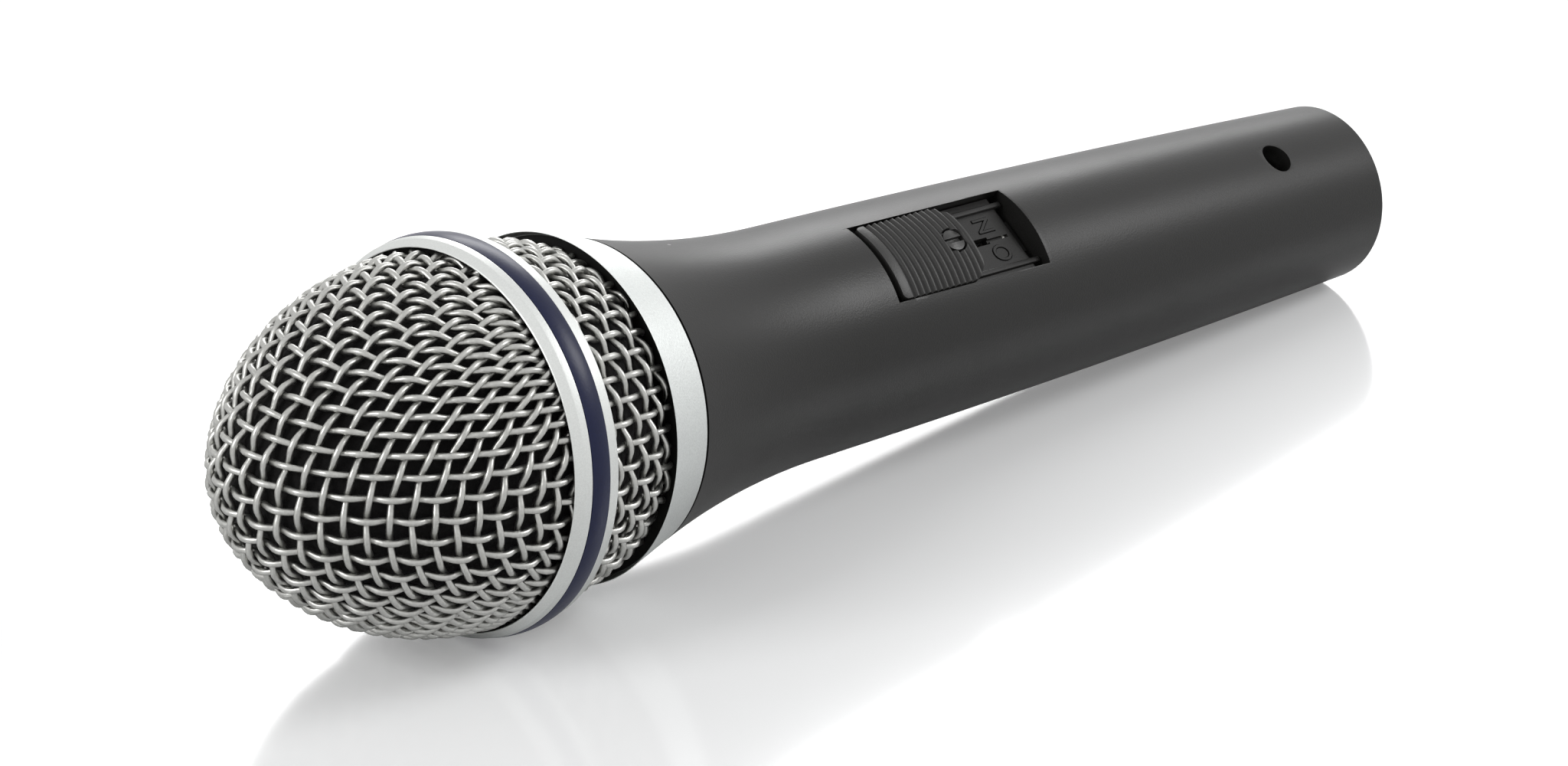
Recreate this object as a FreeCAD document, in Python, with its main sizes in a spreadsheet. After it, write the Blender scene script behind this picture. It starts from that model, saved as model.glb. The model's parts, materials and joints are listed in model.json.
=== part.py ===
import FreeCAD, Part
import math
import os
import re
import Sketcher
from FreeCAD import Placement, Rotation, Vector

# A hand-held dynamic microphone lying on its side, in millimetres. Every piece is drawn about the microphone's own
# axis, which runs along +X from the nose of the grille to the tail, with the switch on the +Z side. LYING then lays
# all of them down together: the colour band and the tail's rim touch the ground, and the switch leans towards -Y.

SIZES = {
    # whole microphone
    "overall_length": 199.4,
    "switch_lean": 35.5,            # degrees that the switch leans from straight up
    "seat_gap": 0.1,                # room around a round piece in its seat
    "running_gap": 0.06,            # room around a round piece that turns in its seat
    # grille
    "dome_depth": 32.3,
    "dome_radius": 24.0,
    "nose_arc": 17.0,
    "mesh_wall": 1.7,               # two wires thick
    "mesh_seat": 1.4,               # depth of each mesh's rim in the ring and in the collar
    "ring_length": 6.7,
    "ring_lip": 0.7,                # how far the ring stands out past the front mesh
    "ring_flare": 0.6,              # from the ring's front edge out to its crest
    "ring_fall": 0.4,               # from the crest down to its back edge
    "band_offset": 2.05,
    "band_width": 2.9,
    "band_proud": 0.2,              # how far the band stands out past the crest
    "band_wall": 0.6,
    "rear_mesh_length": 12.15,
    "rear_lip": 0.7,                # how far ring and collar stand out past the rear mesh
    "foam_wall": 2.5,
    "foam_skirt": 3.0,
    # collar and thread
    "collar_length": 7.15,
    "collar_taper": 2.1,
    "collar_step": 0.1,             # how far the collar stands out past the handle
    "collar_gap": 0.4,              # dark line between collar and handle
    "thread_inset": 3.0,            # from the handle's mouth in to the thread
    "thread_length": 5.3,
    "sleeve_wall": 1.8,
    # handle
    "handle_flare": 4.8,            # from the waist out to the mouth
    "waist_position": 91.7,
    "waist_radius": 15.6,
    "barrel_arc": 3600.0,
    "tail_radius": 12.4,
    "tail_round": 0.6,
    "handle_wall": 2.7,
    "thread_wall": 1.4,             # from the thread in to the handle's bore
    "mouth_bore_depth": 9.0,
    # capsule
    "capsule_room": 0.4,            # between the capsule and the handle
    "capsule_inset": 3.9,           # from the end of the dome forward to the capsule
    "capsule_wall": 1.2,
    "cap_thickness": 1.2,
    "cap_skirt": 4.2,
    "cap_hole_radius": 1.1,
    "cap_hole_circle": 6.5,
    "cap_hole_count": 8,
    "diaphragm_depth": 4.8,
    "diaphragm_thickness": 0.2,
    "diaphragm_rise": 1.7,
    "seat_ring_width": 1.3,
    "seat_ring_thickness": 1.4,
    "coil_radius": 6.75,
    "coil_wall": 0.4,
    "coil_length": 3.6,
    "magnetic_gap": 0.25,
    "pole_thickness": 1.8,
    "magnet_length": 4.6,
    "yoke_wall": 1.8,
    "yoke_floor": 2.0,
    "shelf_thickness": 2.0,
    "shelf_hole_radius": 0.9,
    "shelf_hole_inset": 1.3,
    "shelf_hole_count": 6,
    "housing_length": 36.0,
    "felt_thickness": 1.2,
    "chamber_length": 31.5,
    "chamber_wall": 1.0,
    "board_radius": 6.0,
    "board_thickness": 1.2,
    "shock_flange": 1.1,
    "circlip_thickness": 0.8,
    # switch
    "slot_start": 99.4,
    "slot_length": 29.2,
    "slot_width": 12.5,
    "slot_round": 0.3,
    "tray_gap": 0.1,
    "slider_height": 3.0,           # from the tray's floor up to the slider's crest
    "tray_thickness": 1.2,
    "rail_offset": 4.7,
    "rail_width": 0.8,
    "rail_height": 0.45,
    "lever_slot_width": 1.1,
    "tongue_length": 2.2,
    "tongue_thickness": 0.8,
    "tongue_width": 5.0,
    "slider_inset": 1.3,            # from the slot's end to the slider at ON
    "slider_length": 16.0,
    "slider_side_gap": 0.3,
    "slider_sink": 0.3,             # how far the slider's crest lies below the handle's surface
    "slider_rest_gap": 0.3,
    "slider_round": 2.6,
    "slider_head_round": 0.5,
    "slider_travel": 10.5,
    "rib_count": 13,
    "rib_pitch": 1.1,
    "rib_depth": 0.4,
    "lock_screw_offset": 13.3,      # from the slider's front end
    "lock_head_radius": 1.75,
    "lock_head_height": 1.2,
    "lock_shank_radius": 1.0,
    "driver_slot_width": 0.8,
    "driver_slot_depth": 0.7,
    "lever_length": 4.2,
    "lever_offset": 6.8,            # from the slider's front end
    "lever_thickness": 0.8,
    "lever_grip": 1.2,
    "carriage_length": 6.9,
    "carriage_width": 6.0,
    "carriage_height": 3.4,
    "frame_thickness": 0.6,
    "frame_width": 10.8,
    "ear_length": 3.0,
    "ear_screw_radius": 0.8,
    "ear_head_radius": 1.3,
    "ear_head_height": 0.7,
    "ear_thread": 0.9,
    "switch_wall": 1.0,
    "switch_depth": 5.6,
    "carriage_gap": 0.3,
    "bridge_thickness": 0.3,
    "terminal_width": 1.6,
    "terminal_thickness": 0.5,
    "terminal_length": 3.2,
    "terminal_spread": 2.0,
    "terminal_pitch": 6.0,
    "lug_spread": 2.5,
    "lug_length": 3.0,
    "tongue_step": 0.5,
    # connector
    "socket_radius": 8.1,
    "socket_depth": 14.8,
    "socket_chamfer": 0.5,
    "insert_length": 8.4,
    "insert_step": 0.2,             # from the socket in to the insert's seat
    "seat_step": 0.9,
    "seat_length": 3.0,
    "contact_radius": 1.2,
    "contact_shoulder": 0.2,
    "shoulder_rise": 0.5,           # how far the contact's thicker shank stands out of the insert
    "contact_circle": 3.9,
    "contact_recess": 1.8,
    "contact_round": 0.8,
    "contact_tail": 4.2,
    "cup_radius": 0.8,
    "cup_depth": 2.5,
    "notch_width": 3.0,
    "notch_depth": 1.2,
    "notch_length": 9.0,
    "access_hole_radius": 2.3,
    "set_screw_radius": 1.5,
    "set_screw_length": 5.0,
    "set_screw_lift": 2.0,          # how far the set screw stands out of the insert, into the handle's hole
    "ground_tab_width": 3.6,
    "ground_tab_thickness": 0.5,
    # leads
    "lead_radius": 0.45,
    "lead_sag": 5.0,
}

# Places and sizes that follow from the ones above, written with the same plain names.
WORKED = {
    # grille
    "ring_front_radius": "dome_radius + ring_lip",
    "ring_crest_radius": "ring_front_radius + ring_flare",
    "ring_back_radius": "ring_crest_radius - ring_fall",
    "band_radius": "ring_crest_radius + band_proud",
    "rear_mesh_front_radius": "ring_back_radius - rear_lip",
    "rear_mesh_back_radius": "collar_front_radius - rear_lip",
    "collar_front_radius": "collar_back_radius + collar_taper",
    "collar_back_radius": "handle_mouth_radius + collar_step",
    "band_start": "dome_depth + band_offset",
    "band_end": "band_start + band_width",
    "groove_radius": "band_radius - band_wall",
    "ring_end": "dome_depth + ring_length",
    "collar_start": "ring_end + rear_mesh_length",
    "collar_end": "collar_start + collar_length",
    "nose_to_ring": "dome_depth - nose_arc",
    "side_excess": "dome_radius - nose_arc",
    "side_arc_drop": "(nose_to_ring ^ 2 - side_excess ^ 2) / (2 * side_excess)",
    "side_arc": "dome_radius + side_arc_drop",
    "foam_offset": "mesh_wall + seat_gap",
    "ring_bore_radius": "dome_radius - mesh_wall",
    "foam_skirt_radius": "dome_radius - foam_offset",
    "foam_split": "dome_depth + foam_skirt",
    "rear_foam_end": "collar_start + mesh_seat - seat_gap",
    # handle
    "handle_mouth_radius": "waist_radius + handle_flare",
    "thread_radius": "handle_mouth_radius - thread_inset",
    "mouth_bore_radius": "thread_radius - thread_wall",
    "handle_start": "collar_end + collar_gap",
    "mouth_bore_end": "handle_start + mouth_bore_depth",
    "barrel_start_to_end": "overall_length - tail_round - waist_position",
    "barrel_drop": "waist_radius - tail_radius",
    "seat_radius": "insert_seat_radius - seat_step",
    "barrel_chord": "sqrt(barrel_start_to_end ^ 2 + barrel_drop ^ 2)",
    "waist_slope": "atan(barrel_drop / barrel_start_to_end) - asin(barrel_chord / (2 * barrel_arc))",
    "flare_length": "waist_position - handle_start",
    "flare_chord": "sqrt(flare_length ^ 2 + handle_flare ^ 2)",
    "flare_arc": "flare_chord / (2 * sin(atan(handle_flare / flare_length) - waist_slope))",
    "cavity_front_radius": "waist_radius - handle_wall",
    "cavity_taper": "barrel_drop / barrel_start_to_end",
    "cavity_end": "insert_start - seat_length",
    "cavity_back_radius": "cavity_front_radius - cavity_taper * (cavity_end - waist_position)",
    # how the microphone lies: on the colour band's rear edge and the tail's rounded rim
    "rest_run": "overall_length - tail_round - band_end",
    "rest_drop": "band_radius - tail_radius + tail_round",
    "rest_tilt": "atan(rest_drop / rest_run) - asin(tail_round / sqrt(rest_run ^ 2 + rest_drop ^ 2))",
    "axis_height": "band_end * sin(rest_tilt) + band_radius * cos(rest_tilt)",
    "low_x": "nose_arc * cos(rest_tilt) - nose_arc",
    "tail_run": "(overall_length - tail_round) * cos(rest_tilt)",
    "high_x": "tail_run + (tail_radius - tail_round) * sin(rest_tilt) + tail_round",
    "nose_x": "-(low_x + high_x) / 2",
    # thread sleeve and capsule
    "capsule_radius": "cavity_front_radius - capsule_room",
    "capsule_front": "dome_depth - capsule_inset",
    "diaphragm_seat": "capsule_front + diaphragm_depth",
    "shelf_hole_circle": "housing_bore - shelf_hole_inset",
    "sleeve_front": "handle_start - thread_length",
    "sleeve_bore": "mouth_bore_radius - sleeve_wall",
    "housing_start": "capsule_front + cap_thickness + seat_gap",
    "housing_end": "housing_start + housing_length",
    "housing_bore": "capsule_radius - capsule_wall",
    "neck_radius": "capsule_radius - capsule_wall / 2",
    "cap_end": "capsule_front + cap_skirt",
    "diaphragm_front": "diaphragm_seat - diaphragm_thickness",
    "diaphragm_arc": "(coil_radius ^ 2 + diaphragm_rise ^ 2) / (2 * diaphragm_rise)",
    "coil_bore": "coil_radius - coil_wall",
    "pole_front": "diaphragm_seat + seat_ring_thickness",
    "pole_radius": "coil_bore - magnetic_gap",
    "magnet_front": "pole_front + pole_thickness",
    "magnet_end": "magnet_front + magnet_length",
    "yoke_bore": "coil_radius + magnetic_gap",
    "yoke_end": "magnet_end + yoke_floor",
    "shelf_end": "yoke_end + shelf_thickness",
    "felt_end": "shelf_end + felt_thickness",
    "chamber_radius": "housing_bore - seat_gap",
    "chamber_end": "felt_end + chamber_length",
    "board_end": "chamber_end + board_thickness",
    "shock_radius": "sleeve_bore - seat_gap",
    "shock_bore": "capsule_radius + seat_gap",
    "shock_end": "mouth_bore_end - circlip_thickness",
    # switch
    "slot_end": "slot_start + slot_length",
    "slider_crest_radius": "waist_radius - slider_sink",
    "tray_height": "slider_crest_radius - slider_height",
    "tray_bottom": "tray_height - tray_thickness",
    "slider_front": "slot_start + slider_inset",
    "slider_back": "slider_front + slider_length",
    "slider_width": "slot_width - 2 * slider_side_gap",
    "slider_bottom": "tray_height + rail_height + slider_rest_gap",
    "lock_screw_x": "slider_front + lock_screw_offset",
    "lever_front": "slider_front + lever_offset",
    "lever_top": "slider_bottom + lever_grip",
    "frame_front": "switch_front - ear_length",
    "frame_back": "switch_back + ear_length",
    "frame_bottom": "tray_bottom - frame_thickness",
    "switch_front": "lever_front + lever_length / 2 - carriage_length / 2 - carriage_gap - switch_wall",
    "switch_length": "carriage_length + slider_travel + 2 * carriage_gap + 2 * switch_wall",
    "switch_back": "switch_front + switch_length",
    "switch_width": "carriage_width + 2 * carriage_gap + 2 * switch_wall",
    "switch_bottom": "frame_bottom - switch_depth",
    "carriage_front": "switch_front + switch_wall + carriage_gap",
    "carriage_top": "frame_bottom - carriage_gap",
    "carriage_bottom": "carriage_top - carriage_height",
    "bridge_bottom": "carriage_bottom - bridge_thickness",
    "switch_floor": "switch_bottom + switch_wall",
    "terminal_middle": "switch_front + switch_length / 2",
    "terminal_bottom": "switch_bottom - terminal_length + switch_wall",
    # connector
    "insert_end": "overall_length - socket_depth",
    "insert_start": "insert_end - insert_length",
    "insert_seat_radius": "socket_radius - insert_step",
    "insert_radius": "insert_seat_radius - seat_gap",
    "set_screw_x": "insert_start + insert_length / 2",
    "set_screw_top": "insert_radius + set_screw_lift",
    "set_screw_bottom": "set_screw_top - set_screw_length",
    "contact_end": "overall_length - contact_recess",
    "contact_start": "insert_start - contact_tail",
    "contact_shank_radius": "contact_radius + contact_shoulder",
    "contact_shank_end": "insert_end + shoulder_rise",
}

LYING = (
    "create(<<placement>>; create(<<vector>>; nose_x; 0; axis_height); "
    "create(<<rotation>>; 0; rest_tilt / 1 deg; switch_lean))"
)
ALONG_AXIS = Rotation(Vector(0, 1, 0), 90)

doc = FreeCAD.newDocument("microphone")
sheet = doc.addObject("Spreadsheet::Sheet", "sizes")
pieces = []


def fill_sheet():
    for row, (name, value) in enumerate(SIZES.items(), start=1):
        sheet.set(f"A{row}", name)
        sheet.set(f"B{row}", str(value))
        sheet.setAlias(f"B{row}", name)
    doc.recompute()


def formula(text):
    """Turns plain names into the sheet's cells, and worked names into what they follow from."""
    def spell(match):
        name = match.group(0)
        if name in WORKED:
            return f"({formula(WORKED[name])})"
        return f"sizes.{name}" if name in SIZES else name
    return re.sub(r"[a-z][a-z_]*", spell, text)


def value(text):
    number = sheet.evalExpression(formula(text))
    return float(getattr(number, "Value", number))


def bind(thing, **formulas):
    for name, text in formulas.items():
        thing.setExpression(name, formula(text))


def put_at(thing, x="0", y="0", z="0"):
    for axis, text in zip("xyz", (x, y, z)):
        thing.setExpression(f"Placement.Base.{axis}", formula(text))


def keep(thing, label):
    """Names a finished piece and lays it down with the rest of the microphone."""
    thing.Label = label
    thing.setExpression("Placement", formula(LYING))
    pieces.append(thing)
    return thing


# ---- outlines and turned bodies ----

def arc_between(start, end, radius):
    """The short arc from start to end: it turns left for a positive radius and right for a negative one."""
    chord = end - start
    middle = start + chord * 0.5
    left = Vector(-chord.y, chord.x, 0).normalize()
    height = math.sqrt(radius ** 2 - (chord.Length / 2) ** 2)
    centre = middle + left * math.copysign(height, radius)
    first, last = (start, end) if radius > 0 else (end, start)
    angles = [math.atan2(point.y - centre.y, point.x - centre.x) for point in (first, last)]
    return Part.ArcOfCircle(Part.Circle(centre, Vector(0, 0, 1), abs(radius)), angles[0], angles[1])


def draw(sketch, corners):
    """A closed outline, anticlockwise. A corner is (x, y), or (x, y, radius) where an arc leads up to it."""
    points = [Vector(value(corner[0]), value(corner[1]), 0) for corner in corners]
    ends = []
    for number, corner in enumerate(corners):
        start, end = points[number - 1], points[number]
        if len(corner) == 2:
            sketch.addGeometry(Part.LineSegment(start, end), False)
            ends.append((1, 2))
            continue
        radius = value(corner[2])
        sketch.addGeometry(arc_between(start, end, radius), False)
        ends.append((1, 2) if radius > 0 else (2, 1))
    count = len(corners)
    for number, corner in enumerate(corners):
        follower = (number + 1) % count
        sketch.addConstraint(Sketcher.Constraint(
            "Coincident", number, ends[number][1], follower, ends[follower][0]))
        for kind, text, at in (("DistanceX", corner[0], points[number].x), ("DistanceY", corner[1], points[number].y)):
            index = sketch.addConstraint(Sketcher.Constraint(kind, -1, 1, number, ends[number][1], at))
            sketch.setExpression(f"Constraints[{index}]", formula(text))
        if len(corner) == 3:
            radius = value(corner[2])
            index = sketch.addConstraint(Sketcher.Constraint("Radius", number, abs(radius)))
            sketch.setExpression(f"Constraints[{index}]", formula(corner[2].lstrip("-")))


def plane_sketch(body, name, role):
    sketch = body.newObject("Sketcher::SketchObject", name)
    plane = [feature for feature in body.Origin.OriginFeatures if feature.Role == role][0]
    sketch.AttachmentSupport = (plane, "")
    sketch.MapMode = "FlatFace"
    return sketch


def turned(name, corners):
    """A body turned about the microphone's axis. Corners are (distance from the nose, radius)."""
    body = doc.addObject("PartDesign::Body", name)
    sketch = plane_sketch(body, f"{name}_profile", "XZ_Plane")
    draw(sketch, corners)
    feature = body.newObject("PartDesign::Revolution", f"{name}_turn")
    feature.Profile = sketch
    feature.ReferenceAxis = (sketch, ["H_Axis"])
    feature.Angle = 360
    return body


def ring(name, start, end, bore, radius):
    return turned(name, [(start, bore), (end, bore), (end, radius), (start, radius)])


def disc(name, start, end, radius):
    return ring(name, start, end, "0", radius)


def upward_pocket(body, name, corners, depth=None):
    """Cuts from the microphone's axis upwards, through the wall or to a depth."""
    sketch = plane_sketch(body, f"{name}_outline", "XY_Plane")
    if len(corners) == 1:
        x, y, radius = corners[0]
        circle = Part.Circle(Vector(value(x), value(y), 0), Vector(0, 0, 1), value(radius))
        sketch.addGeometry(circle, False)
        for kind, text in (("DistanceX", x), ("DistanceY", y)):
            index = sketch.addConstraint(Sketcher.Constraint(kind, -1, 1, 0, 3, value(text)))
            sketch.setExpression(f"Constraints[{index}]", formula(text))
        index = sketch.addConstraint(Sketcher.Constraint("Radius", 0, value(radius)))
        sketch.setExpression(f"Constraints[{index}]", formula(radius))
    else:
        draw(sketch, corners)
    doc.recompute()
    before = body.Shape.Volume
    pocket = body.newObject("PartDesign::Pocket", name)
    pocket.Profile = sketch
    pocket.Reversed = True
    if depth is None:
        pocket.Type = "ThroughAll"
    else:
        bind(pocket, Length=depth)
    doc.recompute()
    if body.Shape.Volume >= before:
        raise RuntimeError(f"{name} cuts nothing")


def rounded_plan(front, back, width, front_round, back_round):
    """A rectangle seen from above, centred on the axis, with its own corner radius at each end."""
    half = f"({width}) / 2"
    return [
        (f"{front} + {front_round}", f"-{half}", front_round),
        (f"{back} - {back_round}", f"-{half}"),
        (back, f"-{half} + {back_round}", back_round),
        (back, f"{half} - {back_round}"),
        (f"{back} - {back_round}", half, back_round),
        (f"{front} + {front_round}", half),
        (front, f"{half} - {front_round}", front_round),
        (front, f"-{half} + {front_round}"),
    ]


# ---- plain solids and booleans ----

def box(name, x, y, z, length, width, height):
    """A box centred on y, with x and z at its low sides."""
    solid = doc.addObject("Part::Box", name)
    bind(solid, Length=length, Width=width, Height=height)
    put_at(solid, x, f"{y} - ({width}) / 2", z)
    return solid


def rod(name, x, y, z, radius, height, rotation=None):
    """A cylinder standing up from its base, or turned to lie another way."""
    solid = doc.addObject("Part::Cylinder", name)
    bind(solid, Radius=radius, Height=height)
    if rotation:
        solid.Placement = Placement(Vector(0, 0, 0), rotation)
    put_at(solid, x, y, z)
    return solid


def join(name, solids):
    result = doc.addObject("Part::MultiFuse", name)
    result.Shapes = solids
    result.Refine = True
    return result


def cut(name, base, tools):
    result = doc.addObject("Part::Cut", name)
    result.Base = base
    result.Tool = tools[0] if len(tools) == 1 else join(f"{name}_tools", tools)
    return result


def group(name, solids):
    result = doc.addObject("Part::Compound", name)
    result.Links = solids
    return result


# ---- grille, collar and foam ----

def dome_join(offset):
    """Where the nose's arc meets the side's arc, on the surface that lies offset below the grille's outside."""
    reach = f"(nose_arc - ({offset})) / (side_arc - nose_arc)"
    return f"nose_arc - nose_to_ring * {reach}", f"side_arc_drop * {reach}"


def domed(name, outside, inside, skirt_end):
    """A domed shell between two offsets, with a short round skirt behind it."""
    return turned(name, [
        (inside, "0"),
        (*dome_join(inside), f"-(nose_arc - ({inside}))"),
        ("dome_depth", f"dome_radius - ({inside})", f"-(side_arc - ({inside}))"),
        (skirt_end, f"dome_radius - ({inside})"),
        (skirt_end, f"dome_radius - ({outside})"),
        ("dome_depth", f"dome_radius - ({outside})"),
        (*dome_join(outside), f"side_arc - ({outside})"),
        (outside, "0", f"nose_arc - ({outside})"),
    ])


def make_grille():
    keep(domed("front_grille", "0", "mesh_wall", "dome_depth + mesh_seat"), "front_grille")
    keep(turned("rear_grille", [
        ("ring_end - mesh_seat", "rear_mesh_front_radius - mesh_wall"),
        ("ring_end", "rear_mesh_front_radius - mesh_wall"),
        ("collar_start", "rear_mesh_back_radius - mesh_wall"),
        ("collar_start + mesh_seat", "rear_mesh_back_radius - mesh_wall"),
        ("collar_start + mesh_seat", "rear_mesh_back_radius"),
        ("collar_start", "rear_mesh_back_radius"),
        ("ring_end", "rear_mesh_front_radius"),
        ("ring_end - mesh_seat", "rear_mesh_front_radius"),
    ]), "rear_grille")
    keep(turned("grille_ring", [
        ("dome_depth + mesh_seat", "ring_bore_radius"),
        ("ring_end - mesh_seat", "ring_bore_radius"),
        ("ring_end - mesh_seat", "rear_mesh_front_radius + seat_gap"),
        ("ring_end", "rear_mesh_front_radius + seat_gap"),
        ("ring_end", "ring_back_radius"),
        ("band_end", "ring_crest_radius"),
        ("band_end", "groove_radius"),
        ("band_start", "groove_radius"),
        ("band_start", "ring_crest_radius"),
        ("dome_depth", "ring_front_radius"),
        ("dome_depth", "dome_radius + seat_gap"),
        ("dome_depth + mesh_seat", "dome_radius + seat_gap"),
    ]), "grille_ring")
    keep(ring("colour_band", "band_start", "band_end", "groove_radius", "band_radius"), "colour_band")
    keep(turned("collar", [
        ("collar_start", "rear_mesh_back_radius + seat_gap"),
        ("collar_start + mesh_seat", "rear_mesh_back_radius + seat_gap"),
        ("collar_start + mesh_seat", "thread_radius + running_gap"),
        ("collar_end", "thread_radius + running_gap"),
        ("collar_end", "collar_back_radius"),
        ("collar_start", "collar_front_radius"),
    ]), "collar")


def make_foam():
    keep(domed("front_foam", "foam_offset", "foam_offset + foam_wall", "foam_split"),
         "front_foam")
    keep(turned("rear_foam", [
        ("foam_split + seat_gap", "foam_skirt_radius - foam_wall"),
        ("ring_end", "foam_skirt_radius - foam_wall"),
        ("collar_start", "rear_mesh_back_radius - mesh_wall - seat_gap - foam_wall"),
        ("rear_foam_end", "rear_mesh_back_radius - mesh_wall - seat_gap - foam_wall"),
        ("rear_foam_end", "rear_mesh_back_radius - mesh_wall - seat_gap"),
        ("collar_start", "rear_mesh_back_radius - mesh_wall - seat_gap"),
        ("ring_end", "foam_skirt_radius"),
        ("foam_split + seat_gap", "foam_skirt_radius"),
    ]), "rear_foam")


# ---- handle ----

def make_handle():
    handle = turned("handle", [
        ("handle_start", "mouth_bore_radius"),
        ("mouth_bore_end", "mouth_bore_radius"),
        ("mouth_bore_end", "cavity_front_radius"),
        ("waist_position", "cavity_front_radius"),
        ("cavity_end", "cavity_back_radius"),
        ("cavity_end", "seat_radius"),
        ("insert_start", "seat_radius"),
        ("insert_start", "insert_seat_radius"),
        ("insert_end", "insert_seat_radius"),
        ("insert_end", "socket_radius"),
        ("overall_length - socket_chamfer", "socket_radius"),
        ("overall_length", "socket_radius + socket_chamfer"),
        ("overall_length", "tail_radius - tail_round"),
        ("overall_length - tail_round", "tail_radius", "tail_round"),
        ("waist_position", "waist_radius", "barrel_arc"),
        ("handle_start", "handle_mouth_radius", "-flare_arc"),
    ])
    upward_pocket(handle, "switch_slot", rounded_plan("slot_start", "slot_end", "slot_width", "slot_round",
                                                      "slot_round"))
    upward_pocket(handle, "access_hole", [("set_screw_x", "0", "access_hole_radius")])
    upward_pocket(handle, "latch_notch", [
        ("overall_length - notch_length", "-notch_width / 2"),
        ("overall_length + socket_chamfer", "-notch_width / 2"),
        ("overall_length + socket_chamfer", "notch_width / 2"),
        ("overall_length - notch_length", "notch_width / 2"),
    ], "socket_radius + notch_depth")
    keep(handle, "handle")
    keep(turned("thread_sleeve", [
        ("sleeve_front", "sleeve_bore"),
        ("mouth_bore_end", "sleeve_bore"),
        ("mouth_bore_end", "mouth_bore_radius - seat_gap"),
        ("handle_start", "mouth_bore_radius - seat_gap"),
        ("handle_start", "thread_radius"),
        ("sleeve_front", "thread_radius"),
    ]), "thread_sleeve")


# ---- capsule ----

def hole_circle(name, x, height, radius, circle, count):
    """Equal holes along the axis, spread evenly on a circle."""
    holes = []
    for number in range(int(value(count))):
        turn = f"{number} * 360 / {count}"
        holes.append(rod(f"{name}_{number + 1}", x, f"{circle} * cos({turn})", f"{circle} * sin({turn})",
                         radius, height, ALONG_AXIS))
    return holes


def make_capsule():
    cap = turned("cap_blank", [
        ("capsule_front", "cap_hole_radius"),
        ("capsule_front + cap_thickness", "cap_hole_radius"),
        ("capsule_front + cap_thickness", "neck_radius + seat_gap"),
        ("cap_end", "neck_radius + seat_gap"),
        ("cap_end", "capsule_radius"),
        ("capsule_front", "capsule_radius"),
    ])
    keep(cut("resonator_cap", cap, hole_circle("cap_hole", "capsule_front", "cap_thickness", "cap_hole_radius",
                                               "cap_hole_circle", "cap_hole_count")), "resonator_cap")
    housing = turned("housing_blank", [
        ("housing_start", "housing_bore"),
        ("diaphragm_seat", "housing_bore"),
        ("diaphragm_seat", "housing_bore - seat_ring_width"),
        ("pole_front", "housing_bore - seat_ring_width"),
        ("pole_front", "housing_bore"),
        ("yoke_end", "housing_bore"),
        ("yoke_end", "pole_radius / 2"),
        ("shelf_end", "pole_radius / 2"),
        ("shelf_end", "housing_bore"),
        ("housing_end", "housing_bore"),
        ("housing_end", "capsule_radius"),
        ("cap_end + seat_gap", "capsule_radius"),
        ("cap_end + seat_gap", "neck_radius"),
        ("housing_start", "neck_radius"),
    ])
    keep(cut("capsule_housing", housing, hole_circle("shelf_hole", "yoke_end", "shelf_thickness",
                                                     "shelf_hole_radius", "shelf_hole_circle",
                                                     "shelf_hole_count")), "capsule_housing")
    keep(turned("diaphragm", [
        ("diaphragm_front - diaphragm_rise", "0", "diaphragm_arc"),
        ("diaphragm_seat - diaphragm_rise", "0"),
        ("diaphragm_seat", "coil_radius", "-diaphragm_arc"),
        ("diaphragm_seat", "housing_bore - seat_gap"),
        ("diaphragm_front", "housing_bore - seat_gap"),
        ("diaphragm_front", "coil_radius"),
    ]), "diaphragm")
    keep(ring("voice_coil", "diaphragm_seat", "diaphragm_seat + coil_length", "coil_bore", "coil_radius"),
         "voice_coil")
    keep(disc("pole_plate", "pole_front", "magnet_front", "pole_radius"), "pole_plate")
    keep(disc("magnet", "magnet_front", "magnet_end", "pole_radius - magnetic_gap"), "magnet")
    keep(turned("yoke_cup", [
        ("magnet_end", "0"),
        ("yoke_end", "0"),
        ("yoke_end", "yoke_bore + yoke_wall"),
        ("pole_front", "yoke_bore + yoke_wall"),
        ("pole_front", "yoke_bore"),
        ("magnet_end", "yoke_bore"),
    ]), "yoke_cup")
    keep(ring("rear_felt", "shelf_end", "felt_end", "pole_radius / 2", "housing_bore - seat_gap"), "rear_felt")
    keep(turned("rear_chamber", [
        ("felt_end", "chamber_radius - chamber_wall"),
        ("chamber_end - chamber_wall", "chamber_radius - chamber_wall"),
        ("chamber_end - chamber_wall", "0"),
        ("chamber_end", "0"),
        ("chamber_end", "chamber_radius"),
        ("felt_end", "chamber_radius"),
    ]), "rear_chamber")
    keep(disc("terminal_board", "chamber_end", "board_end", "board_radius"), "terminal_board")
    lugs = [box(f"capsule_lug_{side}", "board_end", f"{side} * lug_spread", "-terminal_thickness / 2",
                "lug_length", "terminal_width", "terminal_thickness") for side in (1, -1)]
    keep(group("capsule_lugs", lugs), "capsule_lugs")
    keep(turned("shock_mount", [
        ("sleeve_front - shock_flange", "shock_bore"),
        ("shock_end", "shock_bore"),
        ("shock_end", "shock_radius"),
        ("sleeve_front", "shock_radius"),
        ("sleeve_front", "thread_radius - shock_flange"),
        ("sleeve_front - shock_flange", "thread_radius - shock_flange"),
    ]), "shock_mount")
    keep(ring("circlip", "shock_end", "mouth_bore_end", "shock_bore + seat_gap", "shock_radius"), "circlip")


# ---- switch ----

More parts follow.
